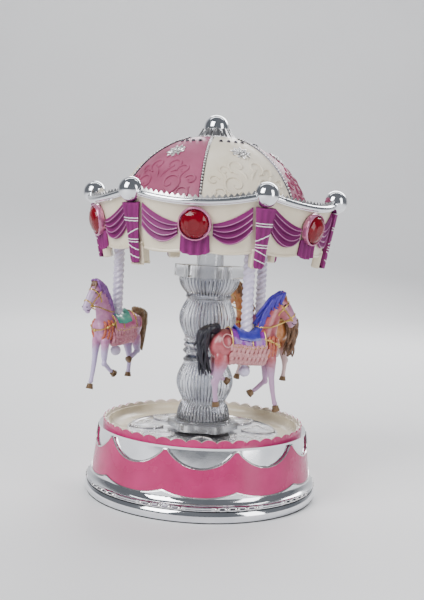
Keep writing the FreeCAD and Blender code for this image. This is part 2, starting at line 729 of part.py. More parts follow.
def coil(inner, outer, turns, thick, low, high):
    """A flat spiral strip."""
    steps = 24 * int(turns)
    edges = []
    for offset in (0.0, thick):
        points = []
        for index in range(steps + 1):
            angle = 2 * math.pi * index / 24
            radius = inner + (outer - inner) * index / steps + offset
            points.append(Vector(radius * math.cos(angle), radius * math.sin(angle), low))
        curve = Part.BSplineCurve()
        curve.interpolate(points)
        edges.append((curve.toShape(), points[0], points[-1]))
    first, first_head, first_tail = edges[0]
    second, second_head, second_tail = edges[1]
    head = Part.makeLine(first_head, second_head)
    tail = Part.makeLine(first_tail, second_tail)
    wire = Part.Wire(Part.__sortEdges__([first, tail, second, head]))
    return Part.Face(wire).extrude(Vector(0, 0, high - low))


strip = size("spring_thick")
feature("mainspring", coil(size("arbor_radius + 2 * run_gap"),
                           size("can_radius - can_wall - run_gap") - strip,
                           size("spring_turns"), strip, size("flange_top + run_gap"),
                           size("can_top - can_wall - run_gap")))

# Pin cylinder, its arbor with pinion and gear, the governor wheel and the fly
cylinder_low = size("cylinder_start")
cylinder_high = size("cylinder_end")
cylinder_radius = size("pin_cylinder_radius")
along = Vector(1, 0, 0)
tube = Part.makeCylinder(cylinder_radius, cylinder_high - cylinder_low, Vector(cylinder_low, 0, level), along)
hollow = Part.makeCylinder(cylinder_radius - size("pin_cylinder_wall"),
                           cylinder_high - cylinder_low - 2 * size("pin_cylinder_wall"),
                           Vector(cylinder_low + size("pin_cylinder_wall"), 0, level), along)
tube = tube.cut(hollow).cut(shaft(ARBOR + size("fit_gap") / 4, cylinder_low, cylinder_high, 0.0))
PIN_RADIUS = 0.3
NOTES_PER_TURN = 5
comb_teeth = int(size("comb_teeth"))
comb_step = (cylinder_high - cylinder_low - 2.0) / comb_teeth
pins = []
for tooth_index in range(comb_teeth):
    for note in range(NOTES_PER_TURN):
        turn = 25.0 + (360.0 / NOTES_PER_TURN) * note + (tooth_index * 37) % 61
        if abs(((turn + 180.0) % 360.0) - 180.0) < 12.0:
            turn += 24.0
        angle = math.radians(turn)
        outward = Vector(0, math.cos(angle), math.sin(angle))
        station = Vector(cylinder_low + 1.0 + comb_step * (tooth_index + 0.5), 0, level)
        root = station + outward * (cylinder_radius - PIN_RADIUS)
        pins.append(Part.makeCylinder(PIN_RADIUS, size("pin_height") + PIN_RADIUS, root, outward))
feature("pin_cylinder", tube.multiFuse(pins))

TRAIN_SLIM = 0.42
train = size("train_module")
half_tooth = math.pi / size("pinion_teeth")
pinion_low = size("crown_radius - crown_face / 2")
pinion_high = size("crown_radius + crown_face / 2")
gear_low = cylinder_high + 0.4
gear_high = gear_low + 0.9
pinion = gear(size("crown_module"), size("pinion_teeth"), pinion_low, pinion_high, 0.0,
              -math.pi / 2 + half_tooth, TRAIN_SLIM)
wheel = gear(train, size("cylinder_teeth"), gear_low, gear_high, 0.0, math.pi, TRAIN_SLIM)
bracket_end = size("bracket_outer + bracket_thick")
cylinder_arbor = shaft(ARBOR, pinion_low, bracket_end + 0.6, 0.0)
cylinder_arbor = cylinder_arbor.fuse(at_level(pinion, 0.0)).fuse(at_level(wheel, 0.0))
feature("cylinder_arbor", cylinder_arbor)

second_low = bracket_end + 0.4
second_high = second_low + 0.9
arbor_low = size("bracket_inner")
governor = shaft(GOVERNOR_ARBOR, arbor_low, second_high + 0.4, governor_y)
small = gear(train, size("governor_pinion"), gear_low, gear_high, 0.0,
             math.pi / size("governor_pinion"), TRAIN_SLIM)
large = gear(train, size("governor_teeth"), second_low, second_high, 0.0, math.pi, TRAIN_SLIM)
governor = governor.fuse(at_level(small, governor_y)).fuse(at_level(large, governor_y))
feature("governor_wheel", governor)

fly = shaft(FLY_ARBOR, arbor_low, second_high + 0.4, fly_y)
last = gear(train, size("fly_pinion"), second_low, second_high, 0.0,
            math.pi / size("fly_pinion"), TRAIN_SLIM)
VANE_REACH = 3.2
VANE_HALF = 0.3
vane = beam((cylinder_low + 2.0, fly_y - VANE_REACH, level - VANE_HALF),
            (cylinder_high - 2.0, fly_y + VANE_REACH, level + VANE_HALF))
feature("governor_fly", fly.fuse(at_level(last, fly_y)).fuse(vane))

# Comb: one plate of tuned teeth, screwed to the riser
tip = size(COMB_TIP)
root = size(COMB_ROOT)
edge = size(COMB_EDGE)
comb_low = level - size("comb_thick") / 2
comb_high = level + size("comb_thick") / 2
comb = beam((cylinder_low + 1.0, root, comb_low), (cylinder_high - 1.0, edge, comb_high))
COMB_SLIT = 0.25
teeth = []
for index in range(comb_teeth):
    left = cylinder_low + 1.0 + comb_step * index + COMB_SLIT / 2
    teeth.append(beam((left, tip, comb_low), (left + comb_step - COMB_SLIT, root + 0.2, comb_high)))
comb = comb.multiFuse(teeth)
comb_screws = []
for share in (0.25, 0.75):
    x = cylinder_low + share * (cylinder_high - cylinder_low)
    y = (root + 1.0 + edge) / 2
    comb = comb.cut(rod(size("screw_radius + fit_gap / 2"), comb_low - 1.0, comb_high + 1.0, x, y))
    head = rod(size("screw_head_radius"), comb_high, comb_high + size("screw_head"), x, y)
    comb_screws.append(head.fuse(rod(size("screw_radius"), comb_low, comb_high, x, y)))
feature("comb", comb)
feature("comb_screws", Part.makeCompound(comb_screws))

# Drive spindle, core plug and core tube
spindle = new_body("drive_spindle")
revolve(spindle, [
    ("0", "can_top"),
    ("bush_radius", "can_top"),
    ("bush_radius", "can_top + 1.2"),
    ("spindle_radius", "can_top + 1.2"),
    ("spindle_radius", "plinth_bottom + bell_height - 1"),
    ("0", "plinth_bottom + bell_height - 1"),
])

plug = new_body("core_plug")
revolve(plug, [
    ("spindle_radius + fit_gap / 4", "plinth_bottom"),
    ("core_radius - core_wall - fit_gap / 4", "plinth_bottom"),
    ("core_radius - core_wall - fit_gap / 4", "plinth_bottom + bell_height"),
    ("spindle_radius + fit_gap / 4", "plinth_bottom + bell_height"),
])

core = new_body("core_tube")
ring = draw_circle(new_sketch(core, "XY_Plane", "plinth_bottom"), "0", "0", "core_radius")
draw_circle(ring, "0", "0", "core_radius - core_wall")
pad(core, ring, "core_top - plinth_bottom")


def hexagon(sketch):
    """Six corners, one of them towards the first pole."""
    corners = []
    for index in range(6):
        angle = f"(turn_angle - 90 + 60 * {index})"
        corners.append((f"hex_radius * cos{angle}", f"hex_radius * sin{angle}"))
    return draw_loop(sketch, corners)


# Clear column in five pieces on the core tube
plinth = new_body("column_plinth")
pad(plinth, hexagon(new_sketch(plinth, "XY_Plane", "plinth_bottom")), "plinth_height")
revolve(plinth, [
    ("column_bore", "plinth_top"),
    ("ring_radius", "plinth_top"),
    ("ring_radius", "bell_bottom"),
    ("bell_radius", "bell_bottom"),
    ("neck_radius", "lower_bottom"),
    ("column_bore", "lower_bottom"),
], {3: (arc_radius("sqrt(bell_height^2 + (bell_radius - neck_radius)^2)", "0.35"), 1)})
pocket(plinth, draw_circle(new_sketch(plinth, "XY_Plane", "plinth_bottom"), "0", "0", "column_bore"),
       "plinth_height", True)


def column_barrel(label, low):
    """One bulging piece of the column."""
    body = new_body(label)
    high = f"({low} + barrel_height)"
    revolve(body, [
        ("column_bore", low),
        ("neck_radius", low),
        ("neck_radius", f"{low} + 1.2"),
        ("neck_radius", f"{high} - 0.8"),
        ("neck_radius", high),
        ("column_bore", high),
    ], {2: (arc_radius("barrel_height - 2", "barrel_bulge"), -1)})
    return body


column_barrel("column_lower_barrel", "lower_bottom")

knot = new_body("column_knot")
revolve(knot, [
    ("column_bore", "knot_bottom"),
    ("knot_radius", "knot_bottom"),
    ("knot_radius", "knot_bottom + 1.6"),
    ("knot_radius", "upper_bottom - 4.4"),
    ("knot_radius", "upper_bottom"),
    ("column_bore", "upper_bottom"),
], {2: (arc_radius("knot_height - 6", "knot_waist"), 1)})

column_barrel("column_upper_barrel", "upper_bottom")

capital = new_body("column_capital")
revolve(capital, [
    ("column_bore", "cup_bottom"),
    ("neck_radius + 0.4", "cup_bottom"),
    ("neck_radius + 0.4", "cup_bottom + 2.4"),
    ("cup_radius", "abacus_bottom - 0.8"),
    ("cup_radius", "abacus_bottom"),
    ("column_bore", "abacus_bottom"),
], {2: (arc_radius("sqrt((cup_height - 3.2)^2 + (cup_radius - neck_radius)^2)", "0.9"), -1)})
pad(capital, hexagon(new_sketch(capital, "XY_Plane", "abacus_bottom")), "abacus_height")
pocket(capital, draw_circle(new_sketch(capital, "XY_Plane", "abacus_bottom"), "0", "0", "column_bore"),
       "abacus_height", True)

# Ceiling plate: carries the poles, the lamps and the battery holder, and grips the core tube
first_turn = size("turn_angle")
pole_x = "pole_circle * sin(turn_angle)"
pole_y = "-pole_circle * cos(turn_angle)"
SCREW_R = "(" + valance_at("ceiling") + " - valance_wall - screw_head_radius - 2 * fit_gap)"
CEILING_R = "(" + valance_at("ceiling") + " - valance_wall - 3 * fit_gap)"
ceiling = new_body("ceiling_plate")
revolve(ceiling, [
    ("column_bore", "ceiling"),
    (CEILING_R, "ceiling"),
    (CEILING_R, "ceiling_top"),
    ("core_radius + 3", "ceiling_top"),
    ("core_radius + 3", "core_top"),
    ("column_bore", "core_top"),
])
pole_hole = pocket(ceiling, draw_circle(new_sketch(ceiling, "XY_Plane", "ceiling"), pole_x, pole_y,
                                        "spigot_radius + fit_gap / 2"), "ceiling_thick", True)
repeat(ceiling, [pole_hole], "3")
screw_hole = pocket(ceiling, draw_circle(new_sketch(ceiling, "XY_Plane", "ceiling"),
                                         SCREW_R + " * sin(turn_angle + 30)",
                                         "-" + SCREW_R + " * cos(turn_angle + 30)",
                                         "screw_radius + fit_gap / 2"), "ceiling_thick", True)
repeat(ceiling, [screw_hole], "3")
lamp_hole = pocket(ceiling, draw_circle(new_sketch(ceiling, "XY_Plane", "ceiling"),
                                        "lamp_circle * sin(turn_angle + 15)",
                                        "-lamp_circle * cos(turn_angle + 15)",
                                        "lamp_radius + fit_gap"), "ceiling_thick", True)
repeat(ceiling, [lamp_hole], "lamp_count")
standoff = pad(ceiling, draw_circle(new_sketch(ceiling, "XY_Plane", "ceiling_top"),
                                    "lamp_circle * sin(turn_angle + 45)",
                                    "-lamp_circle * cos(turn_angle + 45)", "2"), "board_bottom - ceiling_top")
repeat(ceiling, [standoff], "3")
SLOT_HALF = "(switch_travel / 2 + 1.4)"
pocket(ceiling, draw_loop(new_sketch(ceiling, "XY_Plane", "ceiling"), [
    ("-" + SLOT_HALF, "switch_circle - 1.4"),
    (SLOT_HALF, "switch_circle - 1.4"),
    (SLOT_HALF, "switch_circle + 1.4"),
    ("-" + SLOT_HALF, "switch_circle + 1.4"),
]), "ceiling_thick", True)

turn_axis = Vector(0, 0, 1)


def front_at(radius, angle, z=0.0):
    """A point from its distance, its angle from the front towards +X and its level."""
    turn = math.radians(angle)
    return Vector(radius * math.sin(turn), -radius * math.cos(turn), z)


screw_place = front_at(size(SCREW_R), first_turn + 30.0)
ceiling_low = size("ceiling")
ceiling_high = size("ceiling_top")
ceiling_screw = rod(size("screw_head_radius"), ceiling_low - size("screw_head"), ceiling_low,
                    screw_place.x, screw_place.y)
ceiling_screw = ceiling_screw.fuse(rod(size("screw_radius"), ceiling_low, ceiling_high,
                                       screw_place.x, screw_place.y))
feature("ceiling_screws", around(ceiling_screw, 3))

# Valance: a leaning wall with two ledges, a waved upper edge and a lobed lower edge
valance = new_body("valance")


def inner_at(z):
    """Inside radius of the valance at a level, as an expression."""
    return "(" + valance_at(z) + " - valance_wall)"


revolve(valance, [
    (inner_at("valance_low"), "valance_low"),
    (valance_at("valance_low"), "valance_low"),
    (valance_at("valance_high"), "valance_high"),
    (inner_at("valance_high"), "valance_high"),
    (inner_at("eave"), "eave"),
    (inner_at("eave") + " - seat_width", "eave"),
    (inner_at("eave") + " - seat_width", "eave - seat_thick"),
    (inner_at("eave - seat_thick"), "eave - seat_thick"),
    (inner_at("ceiling_top + seat_thick"), "ceiling_top + seat_thick"),
    (inner_at("ceiling_top") + " - seat_width", "ceiling_top + seat_thick"),
    (inner_at("ceiling_top") + " - seat_width", "ceiling_top"),
    (inner_at("ceiling_top"), "ceiling_top"),
])
WAVE = "(valance_top_radius / 2)"
EDGE = "(ball_level - rail_radius - fit_gap)"
DIP = "(rail_low - rail_radius - fit_gap)"
wave = pocket(valance, draw_loop(new_sketch(valance, "XZ_Plane", turn="turn_angle + 30"), [
    ("-" + WAVE, EDGE),
    (WAVE, EDGE),
    (WAVE, "valance_high + 2"),
    ("-" + WAVE, "valance_high + 2"),
], {0: (arc_radius("2 * " + WAVE, "(ball_level - rail_low)"), -1)}), "foot_radius + 10", True)
repeat(valance, [wave], "6")
LIP = "(valance_low_radius * sin(15) - valance_wall / 2)"
LIP_ARC = arc_radius("2 * " + LIP, "valance_scallop")
lip = pocket(valance, draw_loop(new_sketch(valance, "XZ_Plane", turn="turn_angle"), [
    ("-" + LIP, "valance_low"),
    ("0", "valance_low + valance_scallop"),
    (LIP, "valance_low"),
    (LIP, "valance_low - valance_scallop"),
    ("-" + LIP, "valance_low - valance_scallop"),
], {0: (LIP_ARC, -1), 1: (LIP_ARC, -1)}), "foot_radius + 10", True)
repeat(valance, [lip], "12")

# Roof: part of a sphere with a flat brim that drops onto the upper ledge
roof = new_body("dome")
BRIM = "(" + inner_at("eave") + " - 2 * fit_gap)"
revolve(roof, [
    ("dome_hole", sphere_level("dome_radius", "dome_hole")),
    ("dome_hole", sphere_level("dome_inner", "dome_hole")),
    (sphere_at("dome_inner", "eave"), "eave"),
    (BRIM, "eave"),
    (BRIM, "eave_top"),
    (sphere_at("dome_radius", "eave_top"), "eave_top"),
], {1: ("dome_inner", 1), 5: ("dome_radius", -1)})

# Bead lines over the roof's six seams, as half-buried rings cut off at the roof
dome_place = Vector(0, 0, size("dome_centre"))
dome_ball = Part.makeSphere(size("dome_radius"), dome_place)
seam = Part.makeTorus(size("dome_radius + bead_radius / 2"), size("bead_radius"), dome_place, Vector(0, 1, 0))
keep = beam((size("collar_radius + 1"), -5.0, size("eave_top + bead_radius")), (60.0, 5.0, 200.0))
seam = seam.common(keep).cut(dome_ball)
seams = around(seam, 6, first_turn + 30.0 - 90.0)
feature("dome_beads", seams)

# Crown rails: six arcs between the corner balls, each dipping in the middle
def rail_between(first_angle):
    ends = [front_at(size("ball_circle"), first_angle, size("ball_level")),
            front_at(size("ball_circle"), first_angle + 60.0, size("ball_level"))]
    middle = front_at(size("ball_circle"), first_angle + 30.0, size("rail_low"))
    path = Part.Wire([Part.Arc(ends[0], middle, ends[1]).toShape()])
    start = path.Edges[0].tangentAt(path.Edges[0].FirstParameter)
    circle = Part.Wire([Part.Circle(ends[0], start, size("rail_radius")).toShape()])
    return path.makePipeShell([circle], True, False)


ball = Part.makeSphere(size("ball_radius"), front_at(size("ball_circle"), first_turn, size("ball_level")))
balls = around(ball, 6)
rails = around(rail_between(first_turn).cut(balls), 6)
feature("crown_rails", rails)


def on_valance(angle, z, stand_off):
    """A frame on the valance: x along it, y up its slope and z straight out."""
    lean = math.degrees(math.atan(size("valance_lean")))
    place = front_at(size(valance_at(z)), angle, size(z))
    turn = Rotation(turn_axis, angle).multiply(Rotation(Vector(1, 0, 0), 90.0 + lean))
    outward = turn.multVec(Vector(0, 0, 1))
    return Placement(place + outward * stand_off, turn)


def laid(shape, place):
    """A copy of a shape moved into a frame."""
    copy = shape.copy()
    copy.Placement = place.multiply(copy.Placement)
    return copy


hug = size("fit_gap") / 2
slope = math.cos(math.atan(size("valance_lean")))

# Pillar drapes: tapered strips with a tail that hangs below the valance
pillar_high = (size("ball_level") - 5.2 - size("gem_level")) / slope
pillar_low = (size("valance_low") - 5.0 - size("gem_level")) / slope
waist = 0.35 * pillar_high + 0.65 * pillar_low
outline = [
    (-size("pillar_top_width") / 2, pillar_high),
    (-size("pillar_waist_width") / 2, waist),
    (-size("pillar_foot_width") / 2, pillar_low),
    (size("pillar_foot_width") / 2, pillar_low),
    (size("pillar_waist_width") / 2, waist),
    (size("pillar_top_width") / 2, pillar_high),
]
corners = [Vector(x, y, 0) for x, y in outline]
strip_face = Part.Face(Part.makePolygon(corners + corners[:1]))
strip_solid = strip_face.extrude(Vector(0, 0, size("pillar_thick")))
pillar = laid(strip_solid, on_valance(first_turn, "gem_level", hug))
pillars = around(pillar, 6)
feature("pillar_drapes", pillars)

# Corner balls sit over the valance edge and the pillar drapes
feature("corner_balls", balls.cut(valance.Shape).cut(pillars))

# Swag drapes: slices of a cone that lies on the valance, between each pillar and gem
cone_low = size("valance_low")
cone_high = size("valance_high")
cone_tall = cone_high - cone_low


def cone_layer(stand_off):
    return Part.makeCone(size("valance_low_radius") + stand_off, size("valance_top_radius") + stand_off,
                         cone_tall, Vector(0, 0, cone_low))


layer = cone_layer(hug + size("drape_thick")).cut(cone_layer(hug))
pillar_edge = size("pillar_top_width") / 2 + 0.4
gem_edge = size("bezel_radius") + 0.6
middle_x = size("valance_top_radius") * math.sin(math.radians(15.0))
half_x = (size("valance_top_radius") * math.sin(math.radians(30.0)) - pillar_edge - gem_edge) / 2
SWAG_TOP = 7.0
SWAG_END_TOP = 0.5
SWAG_LOW = -7.4
SWAG_DIP = -0.6
SWAG_PILLAR_LOW = 0.0
SWAG_END_LOW = -3.5
gem_z = size("gem_level")


def swag_face(side):
    """Outline of one swag drape beside a gem, drawn on a plane in front of it."""
    near = side * gem_edge
    far = side * (gem_edge + 2 * half_x)
    centre = (near + far) / 2

    def at(x, z):
        return Vector(x, -70.0, gem_z + z)
    lower = Part.Arc(at(near, SWAG_END_LOW), at(centre, SWAG_LOW), at(far, SWAG_PILLAR_LOW)).toShape()
    upper = Part.Arc(at(far, SWAG_TOP), at(centre, SWAG_DIP), at(near, SWAG_END_TOP)).toShape()
    outer = Part.makeLine(at(far, SWAG_PILLAR_LOW), at(far, SWAG_TOP))
    inner = Part.makeLine(at(near, SWAG_END_TOP), at(near, SWAG_END_LOW))
    return Part.Face(Part.Wire([lower, outer, upper, inner]))


swags = []
for side in (-1, 1):
    prism = swag_face(side).extrude(Vector(0, 60, 0))
    piece = prism.common(layer)
    swags.extend(around(piece, 6, first_turn + 30.0).Solids)
feature("swag_drapes", Part.makeCompound(swags))

# Pleated tabs, bezels and gems between the pillars
tab_top = (size("valance_low") - gem_z) / slope + size("tab_height") - 0.4
tab_low = tab_top - size("tab_height")
pleats = int(size("tab_pleats"))
tab_half = size("tab_width") / 2
tab_line = [Vector(-tab_half, tab_low, 0)]
for index in range(2 * pleats + 1):
    x = -tab_half + size("tab_width") * index / (2 * pleats)
    depth = size("tab_thick") * (1.0 if index % 2 else 0.55)
    tab_line.append(Vector(x, tab_low, depth))
tab_line.append(Vector(tab_half, tab_low, 0))
tab = Part.Face(Part.makePolygon(tab_line + tab_line[:1])).extrude(Vector(0, size("tab_height"), 0))
TAB_SINK = 0.25
tab_notch = Part.makeCylinder(size("bezel_radius") + 2 * hug, size("bezel_radius"), Vector(0, 0, -TAB_SINK))
tab = tab.cut(tab_notch)
tab_curve = laid(tab, on_valance(first_turn + 30.0, "gem_level", hug + TAB_SINK))
feature("gem_tabs", around(tab_curve, 6))

bezel_radius = size("bezel_radius")
bezel_depth = size("bezel_depth")
gem_radius = size("gem_radius")
BEZEL_FLOOR = 0.9
bezel = Part.makeCylinder(bezel_radius, bezel_depth)
bezel = bezel.cut(Part.makeCylinder(gem_radius + hug, bezel_depth, Vector(0, 0, BEZEL_FLOOR)))
bezel_place = on_valance(first_turn + 30.0, "gem_level", 2 * hug)
feature("gem_bezels", around(laid(bezel, bezel_place), 6))

GEM_BASE = 1.2
gem_height = size("gem_height")
cap_radius = (gem_radius ** 2 + gem_height ** 2) / (2 * gem_height)
cap = Part.makeSphere(cap_radius, Vector(0, 0, GEM_BASE + gem_height - cap_radius))
girdle = Part.makeCylinder(gem_radius, gem_height + GEM_BASE)
gem = girdle.common(cap.fuse(Part.makeCylinder(gem_radius, GEM_BASE)))
gem.translate(Vector(0, 0, BEZEL_FLOOR))
feature("gems", around(laid(gem, bezel_place), 6))

# Finial: a flared collar on the roof with a round seat, and the ball that is glued in it
collar = new_body("finial_collar")
SEAT = "(finial_radius + fit_gap / 2)"


def seat_at(distance):
    """Level of the collar's seat at a distance from the axis, as an expression."""
    return "(finial_centre - sqrt(" + SEAT + "^2 - (" + distance + ")^2))"


COLLAR_FOOT = sphere_level("dome_radius", "collar_radius")
COLLAR_CHORD = ("sqrt((collar_radius - collar_top_radius)^2 + (" + seat_at("collar_top_radius") + " - "
                + COLLAR_FOOT + ")^2)")
revolve(collar, [
    ("dome_hole", sphere_level("dome_radius", "dome_hole")),
    ("collar_radius", COLLAR_FOOT),
    ("collar_top_radius", seat_at("collar_top_radius")),
    ("dome_hole", seat_at("dome_hole")),
], {0: ("dome_radius", 1), 1: (arc_radius(COLLAR_CHORD, "0.5"), 1), 2: (SEAT, 1)})

finial = doc.addObject("Part::Sphere", "finial_ball")
finial.Label = "finial_ball"
finial.setExpression("Radius", drive("finial_radius"))
finial.setExpression("Placement.Base.z", drive("finial_centre"))

# Poles: a three-lobed section twisted up a straight line, with a necked knob below and a spigot above
knob_z = size("knob_level")
ceiling_z = size("ceiling")
pole_foot = knob_z + size("neck_rise")
pole_length = ceiling_z - pole_foot
LOBES = 3
lobe_points = []
for index in range(LOBES * 8):
    angle = 2 * math.pi * index / (LOBES * 8)
    radius = size("pole_radius") + size("pole_lobe") * math.cos(LOBES * angle)
    lobe_points.append(Vector(radius * math.cos(angle), radius * math.sin(angle), 0))
lobe_curve = Part.BSplineCurve()
lobe_curve.interpolate(lobe_points, PeriodicFlag=True)
spine = Part.Wire([Part.makeLine(Vector(0, 0, 0), Vector(0, 0, pole_length))])
helix = Part.Wire(Part.makeHelix(size("pole_lead"), pole_length, 2 * size("pole_radius")).Edges)
twist = Part.BRepOffsetAPI.MakePipeShell(spine)
twist.setAuxiliarySpine(helix, True, 0)
twist.add(Part.Wire([lobe_curve.toShape()]))
twist.build()
twist.makeSolid()
twisted = twist.shape()
twisted.translate(Vector(0, 0, pole_foot))
neck = rod(size("knob_neck"), knob_z, pole_foot + 1.0)
knob = Part.makeSphere(size("knob_radius"), Vector(0, 0, knob_z - 0.6))
spigot_high = size("ceiling_top + nut_height + 0.6")
spigot = rod(size("spigot_radius"), ceiling_z - 1.0, spigot_high)
pole = twisted.fuse(neck).fuse(knob).fuse(spigot)
for index in range(3):
    item = feature(f"pole_{index + 1}", pole)
    angle = first_turn + 120.0 * index
    item.Placement = Placement(front_at(size("pole_circle"), angle), Rotation(turn_axis, angle))

hexagon_points = []
for index in range(7):
    angle = math.radians(60.0 * index)
    hexagon_points.append(Vector(math.cos(angle), math.sin(angle), 0) * size("nut_radius"))
nut = Part.Face(Part.makePolygon(hexagon_points)).extrude(Vector(0, 0, size("nut_height")))
nut = nut.cut(Part.makeCylinder(size("spigot_radius + fit_gap / 4"), size("nut_height")))
nut.translate(front_at(size("pole_circle"), first_turn, ceiling_high))
feature("pole_nuts", around(nut, 3))

# Horses: smooth lofts for trunk, neck, head, legs, tail, mane and saddle, joined and bored for the pole.
# Each station is (forward, sideways, up, half depth, half width) from the pole at the knob's level.
TRUNK = [
    (-16.6, 0.0, 12.2, 2.4, 2.2),
    (-15.2, 0.0, 11.8, 5.4, 4.0),
    (-12.0, 0.0, 11.0, 7.9, 5.4),
    (-6.0, 0.0, 10.9, 6.8, 5.5),
    (0.0, 0.0, 9.8, 6.4, 5.6),
    (6.0, 0.0, 10.3, 7.2, 5.5),
    (10.8, 0.0, 10.9, 7.4, 4.9),
    (13.6, 0.0, 11.0, 5.2, 3.6),
    (15.0, 0.0, 10.6, 2.2, 1.8),
]
NECK = [
    (7.6, 0.0, 11.0, 6.4, 4.4),
    (9.2, 0.0, 17.0, 5.6, 3.6),
    (11.2, 0.0, 22.6, 4.7, 2.9),
    (13.4, 0.0, 27.2, 4.0, 2.5),
    (15.4, 0.0, 30.6, 2.6, 1.9),
]
HEAD = [
    (12.6, 0.0, 30.6, 2.6, 1.8),
    (15.4, 0.0, 28.6, 4.3, 2.5),
    (18.5, 0.0, 25.7, 4.2, 2.4),
    (20.9, 0.0, 22.7, 3.2, 2.0),
    (22.5, 0.0, 20.5, 2.7, 1.9),
    (23.2, 0.0, 19.2, 1.6, 1.2),
]
NEAR_FORE = [
    (10.6, -2.6, 8.4, 4.0, 2.3),
    (11.4, -2.8, 2.4, 2.6, 1.9),
    (11.8, -2.9, -4.6, 1.5, 1.3),
    (13.2, -2.9, -12.2, 1.15, 1.1),
    (14.5, -2.9, -16.2, 1.7, 1.6),
    (14.9, -2.9, -18.2, 2.0, 1.9),
]
FAR_FORE = [
    (10.2, 2.6, 8.0, 3.8, 2.3),
    (12.0, 2.8, 0.4, 2.3, 1.8),
    (11.2, 2.9, -6.0, 1.6, 1.4),
    (7.6, 2.9, -9.0, 1.15, 1.1),
    (5.4, 2.9, -10.4, 1.6, 1.5),
    (3.9, 2.9, -11.2, 1.9, 1.7),
]
NEAR_HIND = [
    (-11.4, -2.6, 9.0, 4.8, 2.6),
    (-12.2, -2.9, 2.0, 3.2, 2.2),
    (-15.0, -3.0, -5.4, 1.7, 1.4),
    (-14.4, -3.0, -10.2, 1.25, 1.15),
    (-14.1, -3.0, -13.6, 1.7, 1.6),
    (-13.9, -3.0, -15.2, 2.0, 1.8),
]
FAR_HIND = [
    (-11.0, 2.6, 8.0, 4.4, 2.6),
    (-12.4, 2.9, 1.8, 2.8, 2.1),
    (-13.2, 3.0, -1.4, 1.8, 1.5),
    (-9.8, 3.0, -3.6, 1.25, 1.15),
    (-7.4, 3.0, -4.8, 1.6, 1.5),
    (-6.1, 3.0, -5.6, 1.8, 1.6),
]
TAIL = [
    (-13.6, 0.0, 17.6, 1.6, 1.5),
    (-17.6, 0.0, 19.8, 2.0, 1.8),
    (-21.0, 0.0, 18.2, 2.3, 2.1),
    (-22.0, 0.0, 11.6, 2.1, 2.2),
    (-20.9, 0.0, 4.4, 1.8, 1.9),
    (-18.9, 0.0, -1.8, 0.6, 0.6),
]
MANE = [
    (5.4, 0.0, 19.8, 1.4, 1.3),
    (6.8, 0.0, 24.4, 2.4, 1.9),
    (9.6, 0.0, 29.6, 2.5, 2.0),
    (13.4, 0.0, 32.6, 2.0, 1.8),
    (17.0, 0.0, 32.6, 1.0, 1.0),
]
SADDLE = [
    (-5.6, 0.0, 15.9, 1.6, 4.2),
    (-4.4, 0.0, 15.2, 3.0, 5.5),
    (0.0, 0.0, 13.4, 3.5, 6.2),
    (4.2, 0.0, 14.6, 3.2, 5.7),
    (5.4, 0.0, 15.6, 1.8, 4.4),
]
EAR_BASE = (15.9, 1.5, 32.0)
EAR_RADIUS = 0.9
EAR_LENGTH = 2.6
DRAWN_LENGTH = 47.5
horse_scale = size("horse_length") / DRAWN_LENGTH


def station_ring(station, along):
    """A smooth closed ring round a station, square to the way the loft runs."""
    forward, sideways, up, deep, wide = [value * horse_scale for value in station]
    centre = Vector(forward, sideways, up)
    across = Vector(0, 1, 0)
    normal = Vector(along.x, 0, along.z).normalize()
    depth = normal.cross(across).normalize()
    points = []
    for index in range(12):
        angle = 2 * math.pi * index / 12
        points.append(centre + across * (wide * math.cos(angle)) + depth * (deep * math.sin(angle)))
    curve = Part.BSplineCurve()
    curve.interpolate(points, PeriodicFlag=True)
    return Part.Wire([curve.toShape()])


def limb(stations):
    """One smooth solid through a row of stations."""
    places = [Vector(*station[:3]) for station in stations]
    rings = []
    for index, station in enumerate(stations):
        before = places[max(index - 1, 0)]
        after = places[min(index + 1, len(places) - 1)]
        rings.append(station_ring(station, after - before))
    return Part.makeLoft(rings, True, False)


# The two raised legs bend at the knee, so each is an upper and a lower loft
KNEE = 2
limb_rows = [NECK, HEAD, NEAR_FORE, FAR_FORE[:KNEE + 1], FAR_FORE[KNEE:], NEAR_HIND]
limb_rows += [FAR_HIND[:KNEE + 1], FAR_HIND[KNEE:], TAIL, MANE, SADDLE]
limbs = [limb(row) for row in limb_rows]
for side in (-1, 1):
    forward, sideways, up = [value * horse_scale for value in EAR_BASE]
    ear = Part.makeCone(EAR_RADIUS, 0.15, EAR_LENGTH, Vector(forward, side * sideways, up), Vector(0.5, 0, 1))
    limbs.append(ear)
horse = limb(TRUNK)
for piece in limbs:
    horse = horse.fuse(piece)
bore = size("pole_radius + pole_lobe + fit_gap / 2")
horse = horse.cut(Part.makeCylinder(bore, 60.0, Vector(0, 0, -5.0)))
horse = horse.cut(Part.makeSphere(size("knob_radius + fit_gap / 2"), Vector(0, 0, -0.6)))
heading_turns = [0.0, 0.0, -size("left_horse_turn")]
for index, heading_turn in enumerate(heading_turns):
    item = feature(f"horse_{index + 1}", horse)
    angle = first_turn + 120.0 * index
    heading = Rotation(turn_axis, angle + heading_turn)
    item.Placement = Placement(front_at(size("pole_circle"), angle, knob_z), heading)

# Lamps on a ring board above the ceiling
lamp_circle = size("lamp_circle")
board_width = size("board_width")
board_low = size("board_bottom")
board_high = board_low + size("board_thick")
board = rod(lamp_circle + board_width / 2, board_low, board_high)
board = board.cut(rod(lamp_circle - board_width / 2, board_low, board_high))
feature("lamp_board", board)

LAMP_DROP = 0.9
lamp_place = front_at(lamp_circle, first_turn + 15.0)
lamp_radius = size("lamp_radius")
lamp = rod(lamp_radius, ceiling_z - LAMP_DROP, board_low, lamp_place.x, lamp_place.y)
lamp = lamp.fuse(Part.makeSphere(lamp_radius, Vector(lamp_place.x, lamp_place.y, ceiling_z - LAMP_DROP)))
feature("lamps", around(lamp, size("lamp_count")))

